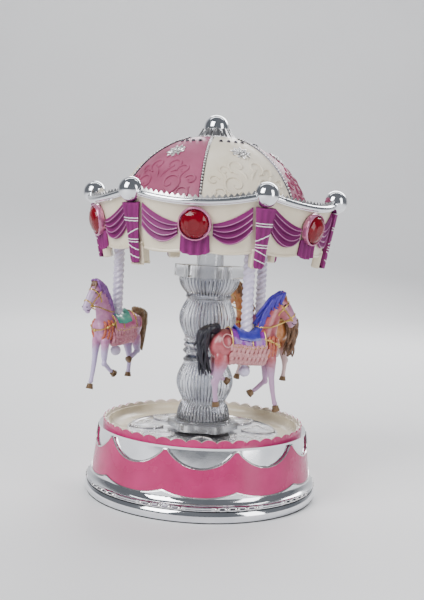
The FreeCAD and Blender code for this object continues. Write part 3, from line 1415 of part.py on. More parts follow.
# Battery holder with a stack of button cells, opposite the switch
cell_radius = size("cell_radius")
cell_height = size("cell_height")
cell_count = int(size("cell_count"))
holder_wall = size("holder_wall")
holder_y = -size("holder_circle")
holder_high = ceiling_high + holder_wall + cell_count * cell_height + 0.4
holder = rod(cell_radius + 0.2 + holder_wall, ceiling_high, holder_high, 0.0, holder_y)
holder = holder.cut(rod(cell_radius + 0.2, ceiling_high + holder_wall, holder_high, 0.0, holder_y))
feature("battery_holder", holder)
cells = []
CELL_EDGE = 0.3
for index in range(cell_count):
    low = ceiling_high + holder_wall + index * cell_height
    body = rod(cell_radius, low + CELL_EDGE, low + cell_height, 0.0, holder_y)
    cells.append(body.fuse(rod(cell_radius - 1.2, low, low + CELL_EDGE, 0.0, holder_y)))
feature("button_cells", Part.makeCompound(cells))

# Slide switch: a box on the ceiling with a slot, and a knob that comes down through the plate
switch_y = size("switch_circle")
travel = size("switch_travel")
SWITCH_WIDE = 5.6
SWITCH_LONG = 11.0
SWITCH_HIGH = 5.0
CAVITY = 2.0
KNOB_HALF = 1.0
body = beam((-SWITCH_LONG / 2, switch_y - SWITCH_WIDE / 2, ceiling_high),
            (SWITCH_LONG / 2, switch_y + SWITCH_WIDE / 2, ceiling_high + SWITCH_HIGH))
room = beam((-travel / 2 - 1.4, switch_y - 1.4, ceiling_high),
            (travel / 2 + 1.4, switch_y + 1.4, ceiling_high + CAVITY))
feature("switch_body", body.cut(room))
rest_x = -travel / 2
knob_stem = beam((rest_x - KNOB_HALF, switch_y - KNOB_HALF, ceiling_z - 0.4),
                 (rest_x + KNOB_HALF, switch_y + KNOB_HALF, ceiling_high + CAVITY - 0.4))
knob_cap = beam((rest_x - 1.6, switch_y - 1.6, ceiling_z - 1.6),
                (rest_x + 1.6, switch_y + 1.6, ceiling_z - 0.4))
feature("switch_knob", knob_stem.fuse(knob_cap))

# Check every object and write one file for each piece
doc.recompute()
for item in doc.Objects:
    if "Invalid" in item.State or "Error" in item.State:
        raise ValueError(f"{item.Label}: {item.State}")
pieces = [item for item in doc.Objects
          if item.TypeId in ("PartDesign::Body", "Part::Feature", "Part::Cylinder", "Part::Sphere")]
os.makedirs("parts", exist_ok=True)
for item in pieces:
    shape = item.Shape
    if shape.isNull() or not shape.isValid():
        raise ValueError(f"{item.Label}: its shape is not valid")
    shape.exportStep(f"parts/{item.Label}.step")
    print(item.Label, len(shape.Solids), "solids", round(shape.Volume, 1), "cubic mm")
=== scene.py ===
# %% [markdown]
# # Dressing a carousel music box
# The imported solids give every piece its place, and this lesson gives them their looks.
# A wind-up carousel is cast, plated and enamelled, so most of the work is fine relief,
# two or three paints and a good deal of bright metal. The frame is loaded first, because
# every new piece rides on one of its bodies.

# %% Load the frame
import math

import bmesh
import bpy
from mathutils import Matrix, Vector
from mathutils.bvhtree import BVHTree


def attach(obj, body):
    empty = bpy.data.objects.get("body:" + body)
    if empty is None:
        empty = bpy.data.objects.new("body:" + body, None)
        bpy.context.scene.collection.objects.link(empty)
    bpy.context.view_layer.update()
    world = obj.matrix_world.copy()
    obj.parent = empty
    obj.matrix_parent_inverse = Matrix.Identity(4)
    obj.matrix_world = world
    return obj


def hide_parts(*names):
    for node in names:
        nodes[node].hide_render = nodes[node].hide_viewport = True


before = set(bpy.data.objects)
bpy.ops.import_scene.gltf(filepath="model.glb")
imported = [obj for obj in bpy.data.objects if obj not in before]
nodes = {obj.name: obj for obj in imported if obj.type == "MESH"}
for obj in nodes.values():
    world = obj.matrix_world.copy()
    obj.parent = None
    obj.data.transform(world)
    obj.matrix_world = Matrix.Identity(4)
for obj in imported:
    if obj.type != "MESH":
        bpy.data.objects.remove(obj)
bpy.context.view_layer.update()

MM = 0.001

# %% [markdown]
# ## Three small helpers
# Everything on a carousel is laid out round one axis, so a helper turns a distance, an
# angle from the front and a level into a point. Lines are drawn in even steps, and a second
# helper lists the shares of the way at which they stop. The third turns a finished bmesh into
# an object that sits at the origin, rides on its body and names the finish it takes.

# %% Points round the axis, even steps and finished pieces


def front_at(radius, angle, level):
    """A point from millimetres and degrees, with 0 degrees at the front and 90 towards +X."""
    turn = math.radians(angle)
    return Vector((radius * math.sin(turn), -radius * math.cos(turn), level)) * MM


def shares(count):
    """The shares from 0 to 1 that split a way into a count of even steps."""
    return [step / count for step in range(count + 1)]


def keep_piece(bm, name, body, material, stands_for=(), crease=35.0):
    """Makes an object of a bmesh, with smooth shading up to the crease angle."""
    mesh = bpy.data.meshes.new(name)
    bm.to_mesh(mesh)
    bm.free()
    mesh.shade_smooth()
    mesh.set_sharp_from_angle(angle=math.radians(crease))
    mesh.materials.append(material)
    piece = bpy.data.objects.new(name, mesh)
    bpy.context.collection.objects.link(piece)
    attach(piece, body)
    if stands_for:
        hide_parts(*stands_for)
    print(name, "has", len(mesh.polygons), "faces")
    return piece


# %% [markdown]
# ## Effects that several finishes share
# Real plating and paint are never even: fingers leave duller patches and paint dries a little
# deeper in places. A mask of the relief's ridges lets a darker colour lie in its hollows, which is
# tarnish on antique silver and painted shade on the other finishes. Each of these effects is a
# node group with its own inputs, so that one group serves many finishes at its own scale.
# A few helpers keep the groups short: each adds one node and returns the socket to go on from.

# %% Groups and their nodes
FLOAT = "NodeSocketFloat"
COLOUR = "NodeSocketColor"
NORMAL = "NodeSocketVector"


def new_group(name, inputs, outputs):
    """An empty shader group, the sockets it takes in and the sockets it gives out."""
    group = bpy.data.node_groups.new(name, "ShaderNodeTree")
    for label, kind, value in inputs:
        socket = group.interface.new_socket(name=label, in_out="INPUT", socket_type=kind)
        socket.default_value = value
    for label, kind in outputs:
        group.interface.new_socket(name=label, in_out="OUTPUT", socket_type=kind)
    taken = group.nodes.new("NodeGroupInput").outputs
    given = group.nodes.new("NodeGroupOutput").inputs
    return group, taken, given


def add_node(tree, kind, inputs, **settings):
    """A shader node with its settings; each input is a socket to link or a plain value."""
    node = tree.nodes.new("ShaderNode" + kind)
    for name, value in settings.items():
        setattr(node, name, value)
    for label, value in inputs.items():
        if isinstance(value, bpy.types.NodeSocket):
            tree.links.new(value, node.inputs[label])
        else:
            node.inputs[label].default_value = value
    return node


# %% Sums, ranges, mixes and noise


def reckon(tree, operation, first, second):
    """The result of a sum on two sockets or numbers."""
    return add_node(tree, "Math", {0: first, 1: second}, operation=operation).outputs["Value"]


def spread(tree, value, low, high, to_low=0.0, to_high=1.0, ease="LINEAR"):
    """A value moved from one range to another."""
    ranges = {"Value": value, "From Min": low, "From Max": high, "To Min": to_low, "To Max": to_high}
    return add_node(tree, "MapRange", ranges, interpolation_type=ease).outputs["Result"]


def mix_colours(tree, share, first, second):
    """A colour between two others, each a socket or a plain colour."""
    sides = {"Factor": share, "A": first, "B": second}
    return add_node(tree, "Mix", sides, data_type="RGBA").outputs["Result"]


def object_place(tree):
    return add_node(tree, "TexCoord", {}).outputs["Object"]


def object_noise(tree, scale, detail):
    """A noise on Object coordinates."""
    look = {"Vector": object_place(tree), "Scale": scale, "Detail": detail}
    return add_node(tree, "TexNoise", look).outputs["Fac"]


# %% Handling marks and uneven paint
MARK_INPUTS = [("Scale", FLOAT, 60.0), ("Clean", FLOAT, 0.1), ("Marked", FLOAT, 0.2)]
marks, taken, given = new_group("handling_marks", MARK_INPUTS, [("Roughness", FLOAT)])
patches = object_noise(marks, taken["Scale"], 5.0)
dullness = spread(marks, patches, 0.38, 0.66, taken["Clean"], taken["Marked"])
marks.links.new(dullness, given["Roughness"])

GREY = (0.5, 0.5, 0.5, 1.0)
PAINT_INPUTS = [("Light", COLOUR, GREY), ("Deep", COLOUR, GREY), ("Scale", FLOAT, 90.0)]
paint, taken, given = new_group("uneven_paint", PAINT_INPUTS, [("Color", COLOUR)])
depth = spread(paint, object_noise(paint, taken["Scale"], 4.0), 0.32, 0.68)
paint.links.new(mix_colours(paint, depth, taken["Light"], taken["Deep"]), given["Color"])
print("groups:", marks.name, paint.name)

# %% Surface grain and a ridge mask for tarnish and painted shade
GRAIN_DEPTH = 0.0002
GRAIN_INPUTS = [("Scale", FLOAT, 900.0), ("Strength", FLOAT, 0.1)]
grain, taken, given = new_group("surface_grain", GRAIN_INPUTS, [("Normal", NORMAL)])
pits = {"Height": object_noise(grain, taken["Scale"], 3.0), "Strength": taken["Strength"],
        "Distance": GRAIN_DEPTH}
grain.links.new(add_node(grain, "Bump", pits).outputs["Normal"], given["Normal"])

RIDGE_INPUTS = [("Hollow", FLOAT, 0.44), ("Ridge", FLOAT, 0.56)]
# Pointiness mask: the hollows it finds take tarnish on antique silver and painted shade on the other
# finishes.
ridges, taken, given = new_group("tarnish_and_shade_mask", RIDGE_INPUTS, [("Mask", FLOAT)])
sharpness = add_node(ridges, "NewGeometry", {}).outputs["Pointiness"]
ridges.links.new(spread(ridges, sharpness, taken["Hollow"], taken["Ridge"]), given["Mask"])
print("groups:", grain.name, ridges.name)

# %% [markdown]
# ## Metal, paint and clear plastic
# One function starts a finish: it places the groups round a Principled shader and sets the
# plain numbers straight on the shader. Chrome, silver, brass and steel differ in colour and
# in how dull they are. The paints differ in their two colours and their gloss, and the
# deepest of them have little gloss, because a bright reflection would wash the colour out.

# %% Start a finish


def place_group(tree, group, **values):
    """A group node in a material, with its inputs set."""
    return add_node(tree, "Group", values, node_tree=group)


def opaque(colour):
    return (*colour, 1.0)


def start_finish(name, light, deep, clean, marked, paint_scale=90.0, mark_scale=60.0,
                 grain_scale=900.0, grain_strength=0.08, **plain):
    """A material with uneven colour, handling marks and grain; plain values go on the shader."""
    material = bpy.data.materials.new(name)
    material.use_nodes = True
    tree = material.node_tree
    shader = tree.nodes["Principled BSDF"]
    for label, value in plain.items():
        shader.inputs[label.replace("_", " ").title().replace("Ior", "IOR")].default_value = value
    colour = place_group(tree, paint, Light=opaque(light), Deep=opaque(deep), Scale=paint_scale)
    dull = place_group(tree, marks, Scale=mark_scale, Clean=clean, Marked=marked)
    texture = place_group(tree, grain, Scale=grain_scale, Strength=grain_strength)
    tree.links.new(colour.outputs["Color"], shader.inputs["Base Color"])
    tree.links.new(dull.outputs["Roughness"], shader.inputs["Roughness"])
    tree.links.new(texture.outputs["Normal"], shader.inputs["Normal"])
    return material


# %% Change the colour of a finish


def own_colour(material):
    """A finish's node tree and the socket that colours its shader so far."""
    tree = material.node_tree
    return tree, tree.nodes["Principled BSDF"].inputs["Base Color"].links[0].from_socket


def recolour(material, colour):
    """Gives a finish's shader a new colour socket."""
    tree = material.node_tree
    tree.links.new(colour, tree.nodes["Principled BSDF"].inputs["Base Color"])
    return material


def darken_hollows_for_tarnish_and_shade(material, hollow_colour, hollow=0.42, ridge=0.53):
    """Lets the finish's own colour show on ridges and a darker one lie in the hollows: tarnish on antique
    silver, painted shade on the other finishes.
    """
    tree, own = own_colour(material)
    mask = place_group(tree, ridges, Hollow=hollow, Ridge=ridge).outputs["Mask"]
    return recolour(material, mix_colours(tree, mask, opaque(hollow_colour), own))


# %% Bright metals
chrome = start_finish("chrome_plate", (0.86, 0.87, 0.90), (0.74, 0.76, 0.80), 0.04, 0.13,
                      grain_scale=300.0, grain_strength=0.03, metallic=1.0)
silver = start_finish("antique_silver", (0.82, 0.81, 0.80), (0.66, 0.65, 0.66), 0.16, 0.32,
                      metallic=1.0)
darken_hollows_for_tarnish_and_shade(silver, (0.16, 0.15, 0.17))
plate_silver = start_finish("deck_plate_silver", (0.80, 0.80, 0.82), (0.60, 0.60, 0.64), 0.14, 0.30,
                            paint_scale=220.0, mark_scale=160.0, metallic=1.0)
brass = start_finish("brass", (0.78, 0.57, 0.24), (0.62, 0.42, 0.16), 0.2, 0.36, metallic=1.0)
steel = start_finish("spring_steel", (0.56, 0.57, 0.60), (0.42, 0.43, 0.46), 0.24, 0.4, metallic=1.0)
dark_stud = start_finish("dark_stud", (0.10, 0.09, 0.11), (0.05, 0.05, 0.06), 0.2, 0.35, metallic=1.0)
print("metals:", chrome.name, silver.name, plate_silver.name, brass.name, steel.name, dark_stud.name)

# %% Enamels
ROSE = (0.50, 0.024, 0.15)
DEEP_ROSE = (0.39, 0.014, 0.105)
rose_enamel = start_finish("rose_enamel", ROSE, DEEP_ROSE, 0.2, 0.34,
                           coat_weight=0.2, coat_roughness=0.08, specular_ior_level=0.35)
cream_enamel = start_finish("cream_enamel", (0.77, 0.69, 0.53), (0.67, 0.585, 0.43), 0.26, 0.44,
                            coat_weight=0.35, coat_roughness=0.12)
plum_enamel = start_finish("plum_enamel", (0.24, 0.028, 0.16), (0.165, 0.016, 0.11), 0.42, 0.56,
                           specular_ior_level=0.14)
# Painted shade: a near-black plum lies in the hollows of the drapery folds.
darken_hollows_for_tarnish_and_shade(plum_enamel, (0.09, 0.011, 0.06), hollow=0.40, ridge=0.54)
lilac_pearl = start_finish("lilac_pearl", (0.66, 0.61, 0.76), (0.54, 0.48, 0.68), 0.18, 0.34,
                           coat_weight=0.6, coat_roughness=0.1)
white_line = start_finish("white_line", (0.86, 0.83, 0.84), (0.76, 0.70, 0.74), 0.25, 0.4,
                          coat_weight=0.3)
print("paints:", rose_enamel.name, cream_enamel.name, plum_enamel.name, lilac_pearl.name)

# %% Clear and dark plastics, glass and rubber
clear_plastic = start_finish("clear_plastic", (0.95, 0.96, 0.985), (0.90, 0.915, 0.95), 0.015, 0.06,
                             grain_strength=0.01, transmission_weight=0.86, ior=1.46)
ribbed_plastic = start_finish("ribbed_plastic", (0.93, 0.945, 0.985), (0.86, 0.88, 0.94), 0.015, 0.06,
                              grain_strength=0.01, transmission_weight=0.86, ior=1.40)
# Painted shade: the rib valleys are painted near black, so the clear column shows dark stripes.
darken_hollows_for_tarnish_and_shade(ribbed_plastic, (0.045, 0.05, 0.09), hollow=0.455, ridge=0.495)
ruby = start_finish("ruby_glass", (0.30, 0.002, 0.014), (0.17, 0.001, 0.008), 0.02, 0.07,
                    grain_strength=0.01, specular_ior_level=0.25, transmission_weight=0.35, ior=1.52)
lens = start_finish("lamp_lens", (0.93, 0.93, 0.96), (0.84, 0.85, 0.90), 0.08, 0.18,
                    transmission_weight=0.6, ior=1.45)
rubber = start_finish("rubber", (0.035, 0.034, 0.036), (0.02, 0.02, 0.021), 0.6, 0.8,
                      grain_scale=1500.0, grain_strength=0.3)
black_plastic = start_finish("black_plastic", (0.04, 0.04, 0.045), (0.025, 0.025, 0.03), 0.35, 0.5,
                             grain_scale=1800.0, grain_strength=0.25)
board_lacquer = start_finish("board_lacquer", (0.05, 0.20, 0.10), (0.03, 0.14, 0.07), 0.25, 0.4,
                             coat_weight=0.4)
print("plastics:", clear_plastic.name, ribbed_plastic.name, ruby.name, lens.name, black_plastic.name)

# %% [markdown]
# ## Two paints on one solid
# The roof has six panels that alternate between dusty pink and cream, and the scalloped rim
# is rose outside and cream inside. They could be cut apart, but each solid is one smooth
# shell, so the paint is chosen by place: on the roof by the angle round the axis, wrapped to
# one pair of panels, and on the rim by the distance from the axis.

# %% Panel colours by angle
FIRST_POLE = 22.6
PANEL_PAIR = math.radians(120.0)
PINK_START = math.radians(67.4)


def object_axes(tree):
    """The x, y and z of a place on the piece, in metres."""
    return add_node(tree, "SeparateXYZ", {"Vector": object_place(tree)}).outputs


panels, taken, given = new_group("roof_panels", [], [("Mask", FLOAT)])
axes = object_axes(panels)
towards_front = reckon(panels, "MULTIPLY", axes["Y"], -1.0)
panel_angle = reckon(panels, "ARCTAN2", axes["X"], towards_front)
panel_shift = reckon(panels, "ADD", panel_angle, PINK_START)
panel_wrap = reckon(panels, "FLOORED_MODULO", panel_shift, PANEL_PAIR)
panels.links.new(reckon(panels, "LESS_THAN", panel_wrap, PANEL_PAIR / 2), given["Mask"])

roof_finish = start_finish("roof_enamel", (0.80, 0.735, 0.62), (0.70, 0.63, 0.50), 0.36, 0.52,
                           specular_ior_level=0.22)
tree, roof_cream = own_colour(roof_finish)
roof_pink = place_group(tree, paint, Light=opaque((0.39, 0.10, 0.185)), Deep=opaque((0.30, 0.065, 0.13)),
                        Scale=90.0)
roof_mask = place_group(tree, panels)
recolour(roof_finish, mix_colours(tree, roof_mask.outputs["Mask"], roof_cream, roof_pink.outputs["Color"]))
print("roof finish:", roof_finish.name)

# %% Rim: rose outside and cream inside
RIM_PARTING = 0.0468
rim_finish = start_finish("rim_enamel", ROSE, DEEP_ROSE, 0.2, 0.34,
                          coat_weight=0.2, coat_roughness=0.1, specular_ior_level=0.35)
tree, rim_rose = own_colour(rim_finish)
rim_cream = place_group(tree, paint, Light=opaque((0.80, 0.72, 0.62)), Deep=opaque((0.70, 0.61, 0.52)),
                        Scale=120.0)
axes = object_axes(tree)
squares = [reckon(tree, "MULTIPLY", axes[label], axes[label]) for label in "XY"]
rim_mask = reckon(tree, "LESS_THAN", reckon(tree, "ADD", *squares), RIM_PARTING ** 2)
recolour(rim_finish, mix_colours(tree, rim_mask, rim_rose, rim_cream.outputs["Color"]))
print("rim finish:", rim_finish.name)

# %% [markdown]
# ## Finishes on the solids that stay
# Turned and cast pieces whose solid shape is already right keep their CAD mesh and only get
# a finish: the drum and foot in chrome, the tray and valance in cream, the works in brass
# and steel.

# %% Assign the finishes
NODE_FINISHES = {
    chrome: ["drum_shell", "winding_foot", "corner_balls", "finial_ball", "finial_collar", "crown_rails"],
    rose_enamel: ["swag_band"],
    rim_finish: ["scallop_rim"],
    cream_enamel: ["deck_tray", "valance", "ceiling_plate"],
    plate_silver: ["deck_plate"],
    roof_finish: ["dome"],
    clear_plastic: ["core_tube"],
    lilac_pearl: ["pole_1", "pole_2", "pole_3"],
    brass: ["pin_cylinder", "deck_bush", "bedplate", "movement_brackets", "governor_wheel", "spring_barrel"],
    steel: ["cover_screws", "bedplate_screws", "comb", "comb_screws", "winding_arbor", "mainspring",
            "drive_spindle", "ceiling_screws", "pole_nuts", "cylinder_arbor", "governor_fly", "button_cells"],
    rubber: ["foot_ring"],
    black_plastic: ["bottom_cover", "core_plug", "battery_holder", "switch_body", "switch_knob"],
    board_lacquer: ["lamp_board"],
    lens: ["lamps"],
}
for finish, names in NODE_FINISHES.items():
    for name in names:
        mesh = nodes[name].data
        mesh.materials.clear()
        mesh.materials.append(finish)
    print(finish.name, "on", len(names), "nodes")

# %% [markdown]
# ## Ribbed clear column
# The column is moulded in clear plastic with about fifty upright ribs that break the light
# into stripes, and painted shade in every rib's valley makes the stripes darker. A lathe profile is
# spun in many steps, and then every rib's valley is drawn in towards the axis. Spinning keeps the
# profile editable, and the ribs cost no extra loop.
# The hexagons above and below are flat rings round the bore that are lifted and bevelled.

# %% Spin a profile and press its ribs
BORE = 6.5
RIBS = 48
SPIN_STEPS = 6 * RIBS
RIB_DEPTH = 0.95
RIB_FADE = 1.2
MERGE = 0.000001


def spun(profile, steps):
    """A bmesh of a closed profile of (radius, level) pairs turned about the axis."""
    bm = bmesh.new()
    ring = [bm.verts.new((radius * MM, 0.0, level * MM)) for radius, level in profile]
    edges = [bm.edges.new((ring[index - 1], ring[index])) for index in range(len(ring))]
    bmesh.ops.spin(bm, geom=ring + edges, cent=(0, 0, 0), axis=(0, 0, 1), dvec=(0, 0, 0),
                   angle=2 * math.pi, steps=steps, use_merge=True)
    bmesh.ops.remove_doubles(bm, verts=bm.verts, dist=MERGE)
    bmesh.ops.recalc_face_normals(bm, faces=bm.faces)
    return bm


def bulge(low, high, radius, rise, count):
    """Points of a bulging or hollow line between two levels at one radius."""
    return [(radius + rise * math.sin(math.pi * share), low + (high - low) * share)
            for share in shares(count)]


def press_ribs(bm, low, high, count=RIBS, depth=RIB_DEPTH, twist=0.0):
    """Draws the valley of each rib towards the axis, fading out at both ends."""
    for vert in bm.verts:
        radius = vert.co.xy.length / MM
        level = vert.co.z / MM
        if radius < BORE + 0.5:
            continue
        fade = max(0.0, min(1.0, (level - low) / RIB_FADE, (high - level) / RIB_FADE))
        angle = math.atan2(vert.co.y, vert.co.x)
        wave = 1.0 - abs(math.sin(count * (angle + twist * (level - low)) / 2.0)) ** 0.7
        vert.co.xy *= (radius - depth * fade * wave) / radius


# %% Two barrels and the knot between them
NECK = 10.5
BARREL_HEIGHT = 19.0
BARREL_BULGE = 3.0
BARREL_FEET = {"lower": 42.5, "upper": 72.5}
KNOT_LOW = 61.5
KNOT_HIGH = 72.5
KNOT_RIBS = 20


def barrel(low):
    """Profile of one bulging barrel with its bore."""
    high = low + BARREL_HEIGHT
    belly = bulge(low + 1.2, high - 0.8, NECK, BARREL_BULGE, 18)
    return [(BORE, low), (NECK - 0.5, low), (NECK, low + 0.4), *belly,
            (NECK, high - 0.3), (NECK - 0.5, high), (BORE, high)]


for label, low in BARREL_FEET.items():
    bm = spun(barrel(low), SPIN_STEPS)
    press_ribs(bm, low + 0.8, low + BARREL_HEIGHT - 0.6)
    keep_piece(bm, f"{label}_barrel_ribs", "carousel", ribbed_plastic,
               [f"column_{label}_barrel"], crease=60.0)

knot_line = bulge(KNOT_LOW + 0.2, KNOT_LOW + 1.6, 10.5, 0.4, 4)
knot_line += [(9.6, KNOT_LOW + 2.4), (9.1, KNOT_LOW + 3.3)]
knot_line += bulge(KNOT_LOW + 3.7, KNOT_LOW + 6.4, 10.0, 1.1, 6)
knot_line += bulge(KNOT_LOW + 6.7, KNOT_HIGH - 1.9, 9.9, 1.0, 5)
knot_line += bulge(KNOT_HIGH - 1.6, KNOT_HIGH - 0.2, 10.4, 0.6, 4)
bm = spun([(BORE, KNOT_LOW), (9.8, KNOT_LOW), *knot_line, (9.8, KNOT_HIGH), (BORE, KNOT_HIGH)], 200)
press_ribs(bm, KNOT_LOW + 3.0, KNOT_HIGH - 1.4, count=KNOT_RIBS, depth=0.8, twist=0.06)
keep_piece(bm, "twisted_knot", "carousel", ribbed_plastic, ["column_knot"], crease=60.0)

# %% Capital cup
CUP_LOW = 91.5
CUP_NECK = 10.6
CUP_RIM = 14.4
ABACUS_LOW = 101.7
cup_line = [(CUP_NECK, CUP_LOW + 0.4), (10.9, CUP_LOW + 1.0), (CUP_NECK, CUP_LOW + 1.8),
            (CUP_NECK, CUP_LOW + 2.4)]
for share in shares(12)[1:]:
    reach = CUP_NECK + 3.8 * share + 0.9 * math.sin(math.pi * share)
    cup_line.append((min(reach, CUP_RIM), CUP_LOW + 2.4 + 7.0 * share))
bm = spun([(BORE, CUP_LOW), (10.2, CUP_LOW), *cup_line, (14.2, ABACUS_LOW), (BORE, ABACUS_LOW)], SPIN_STEPS)
press_ribs(bm, CUP_LOW + 1.6, ABACUS_LOW - 0.2)
keep_piece(bm, "capital_cup", "carousel", ribbed_plastic, crease=60.0)

# %% Hexagons above and below the column
ABACUS_HIGH = 107.5
PLINTH_LOW = 29.7
PLINTH_HIGH = 33.2
HEX_CORNER = 17.0
HEX_BEVEL = 0.35


def hex_slab(low, high):
    """A hexagon with bevelled edges and a round bore, its corners towards the poles."""
    bm = bmesh.new()
    seat = Matrix.Translation((0, 0, low * MM))
    hex_turn = Matrix.Rotation(math.radians(FIRST_POLE), 4, "Z")
    bmesh.ops.create_circle(bm, segments=6, radius=HEX_CORNER * MM, matrix=seat @ hex_turn)
    bmesh.ops.create_circle(bm, segments=48, radius=BORE * MM, matrix=seat)
    bmesh.ops.bridge_loops(bm, edges=bm.edges[:])
    lifted = bmesh.ops.extrude_face_region(bm, geom=bm.faces[:])
    lifted_verts = [item for item in lifted["geom"] if isinstance(item, bmesh.types.BMVert)]
    bmesh.ops.translate(bm, verts=lifted_verts, vec=(0, 0, (high - low) * MM))
    bmesh.ops.recalc_face_normals(bm, faces=bm.faces)
    rims = [edge for edge in bm.edges if edge.calc_face_angle(0.0) > 0.5
            and min(vert.co.xy.length for vert in edge.verts) > 12 * MM]
    bmesh.ops.bevel(bm, geom=rims, offset=HEX_BEVEL * MM, segments=2, profile=0.5, affect="EDGES",
                    material=-1)
    return bm


keep_piece(hex_slab(ABACUS_LOW, ABACUS_HIGH), "capital_abacus", "carousel", clear_plastic,
           ["column_capital"])
keep_piece(hex_slab(PLINTH_LOW, PLINTH_HIGH), "plinth_slab", "carousel", clear_plastic,
           ["column_plinth"])

# %% Ring and ribbed bell on the plinth
BELL_LOW = 34.6
BELL_HIGH = 42.5
BELL_FLARE = 2.2
RING_RADIUS = 13.2
ring_line = bulge(PLINTH_HIGH, BELL_LOW - 0.1, RING_RADIUS, 0.5, 6)
bell_line = []
for share in shares(14):
    reach = NECK + BELL_FLARE * math.cos(math.pi / 2 * share) ** 0.7
    bell_line.append((reach, BELL_LOW + (BELL_HIGH - BELL_LOW - 0.4) * share))
bm = spun([(BORE, PLINTH_HIGH), *ring_line, *bell_line, (10.2, BELL_HIGH), (BORE, BELL_HIGH)], SPIN_STEPS)
press_ribs(bm, BELL_LOW + 0.2, BELL_HIGH - 0.2)
keep_piece(bm, "plinth_bell", "carousel", ribbed_plastic, crease=60.0)

# %% [markdown]
# ## Piping, beads and sheets
# Cast ornament is mostly three things: round piping that follows a line, rows of beads, and
# thin shaped sheets. Piping is a bevelled curve turned into a mesh, because a curve can taper
# along its points. Beads are small spheres with few faces, because there are hundreds of
# them. A sheet starts as a flat grid, whose points are moved and which is then thickened.

# %% Piping along rows of points


def evaluated(holder):
    """A bmesh of what an object's curve or modifiers make; the object itself is removed."""
    bpy.context.collection.objects.link(holder)
    graph = bpy.context.evaluated_depsgraph_get()
    mesh = bpy.data.meshes.new_from_object(holder.evaluated_get(graph), depsgraph=graph)
    bpy.data.objects.remove(holder)
    bm = bmesh.new()
    bm.from_mesh(mesh)
    bpy.data.meshes.remove(mesh)
    return bm


def piping(paths, radius, closed=False, tapers=None, roundness=1):
    """A bmesh of round piping along rows of points; tapers give each point's share of the radius."""
    curve = bpy.data.curves.new("piping_path", "CURVE")
    curve.dimensions = "3D"
    curve.bevel_depth = radius * MM
    curve.bevel_resolution = roundness
    curve.use_fill_caps = True
    for index, path in enumerate(paths):
        spline = curve.splines.new("POLY")
        spline.points.add(len(path) - 1)
        for step, place in enumerate(path):
            spline.points[step].co = (*place, 1.0)
            if tapers:
                spline.points[step].radius = tapers[index][step]
        spline.use_cyclic_u = closed
    holder = bpy.data.objects.new("piping_path", curve)
    bm = evaluated(holder)
    bpy.data.curves.remove(curve)
    return bm


# %% Beads, sheets and stamps


def bead(bm, place, radius, stretch=Matrix.Identity(4)):
    """One small bead; stretch is a matrix that lengthens or turns it."""
    bmesh.ops.create_uvsphere(bm, u_segments=8, v_segments=6, radius=radius * MM,
                              matrix=Matrix.Translation(place) @ stretch)


def sheet(bm, columns, rows):
    """A grid whose vertices are handed out with their shares across and down."""
    made = bmesh.ops.create_grid(bm, x_segments=columns, y_segments=rows, size=0.5)
    return [(vert, vert.co.x + 0.5, 0.5 - vert.co.y) for vert in made["verts"]]


def thicken(bm, thickness, outwards=False):
    """Gives shaped sheets a thickness; outwards first turns their faces away from the axis."""
    bmesh.ops.recalc_face_normals(bm, faces=bm.faces)
    for face in bm.faces:
        if outwards and face.normal.dot(face.calc_center_median().xy.to_3d()) < 0:
            face.normal_flip()
    bmesh.ops.solidify(bm, geom=bm.faces[:], thickness=thickness * MM)
    bmesh.ops.recalc_face_normals(bm, faces=bm.faces)


def as_mesh(bm, name):
    """A mesh that can be stamped many times."""
    mesh = bpy.data.meshes.new(name)
    bm.to_mesh(mesh)
    bm.free()
    print(name, "has", len(mesh.polygons), "faces")
    return mesh


def stamp(bm, mesh, place):
    """Adds a copy of a mesh to a bmesh, moved by a matrix."""
    before = len(bm.verts)
    bm.from_mesh(mesh)
    bm.verts.ensure_lookup_table()
    bmesh.ops.transform(bm, matrix=place, verts=bm.verts[before:])


# %% [markdown]
# ## Roof relief
# Every roof panel carries raised scrolls in its own colour and a silver flower near the top,
# and silver beads cover the six seams. The scrolls are drawn flat, as spirals and leaves on a
# panel that is measured in millimetres, and then bent onto the sphere, so one drawing serves
# all six panels. The beads of a seam lie in a dark line, which keeps them apart to the eye.
# A ring of small dark studs closes the roof under the finial.

# %% Bend a flat panel onto the roof sphere
ROOF_RADIUS = 47.2
ROOF_CENTRE = 120.5
EAVE = 16.5
PANEL_ANGLES = [FIRST_POLE + 60.0 * index for index in range(6)]
SEAM_ANGLES = [angle + 30.0 for angle in PANEL_ANGLES]


def on_roof(panel, across, up, stand_off=0.0):
    """A point on the roof: millimetres across a panel and up from the eave."""
    climb = math.radians(EAVE) + up / ROOF_RADIUS
    turn = math.degrees(across / (ROOF_RADIUS * math.cos(climb)))
    reach = ROOF_RADIUS + stand_off
    return front_at(reach * math.cos(climb), panel + turn, ROOF_CENTRE + reach * math.sin(climb))


# %% Scrolls and leaves, drawn flat
SCROLL_RADIUS = 0.58
SCROLL_LIFT = 0.12
SPIRAL_STEPS = 26
LEAF_STEPS = 8
LEAF_BEND = 0.9
SCROLLS = [(7.0, 10.5, 5.2, -110.0, 1.3, 1), (13.6, 5.6, 4.2, -150.0, 1.2, 1),
           (4.4, 20.4, 3.8, -80.0, 1.2, 1), (10.6, 17.6, 2.6, 200.0, 1.1, -1),
           (16.0, 12.2, 2.2, 160.0, 1.0, -1), (3.4, 4.2, 3.0, 60.0, 1.1, -1)]
LEAVES = [(1.0, 13.0, 58.0, 7.0), (2.0, 24.5, 70.0, 4.5), (9.0, 1.5, 20.0, 7.0), (11.0, 12.0, 75.0, 4.6),
          (17.5, 4.0, 95.0, 5.0)]


def spiral(across, up, radius, start, turns, hand):
    """A flat scroll that winds inwards, with tapers; start is in degrees and hand is 1 or -1."""
    points = []
    tapers = []
    for share in shares(SPIRAL_STEPS):
        reach = radius * (1.0 - share) ** 0.85 + 0.5
        angle = math.radians(start) + hand * 2 * math.pi * turns * share
        points.append((across + reach * math.cos(angle), up + reach * math.sin(angle)))
        tapers.append(0.35 + 0.65 * math.sin(math.pi * min(1.0, 0.15 + share)))
    return points, tapers


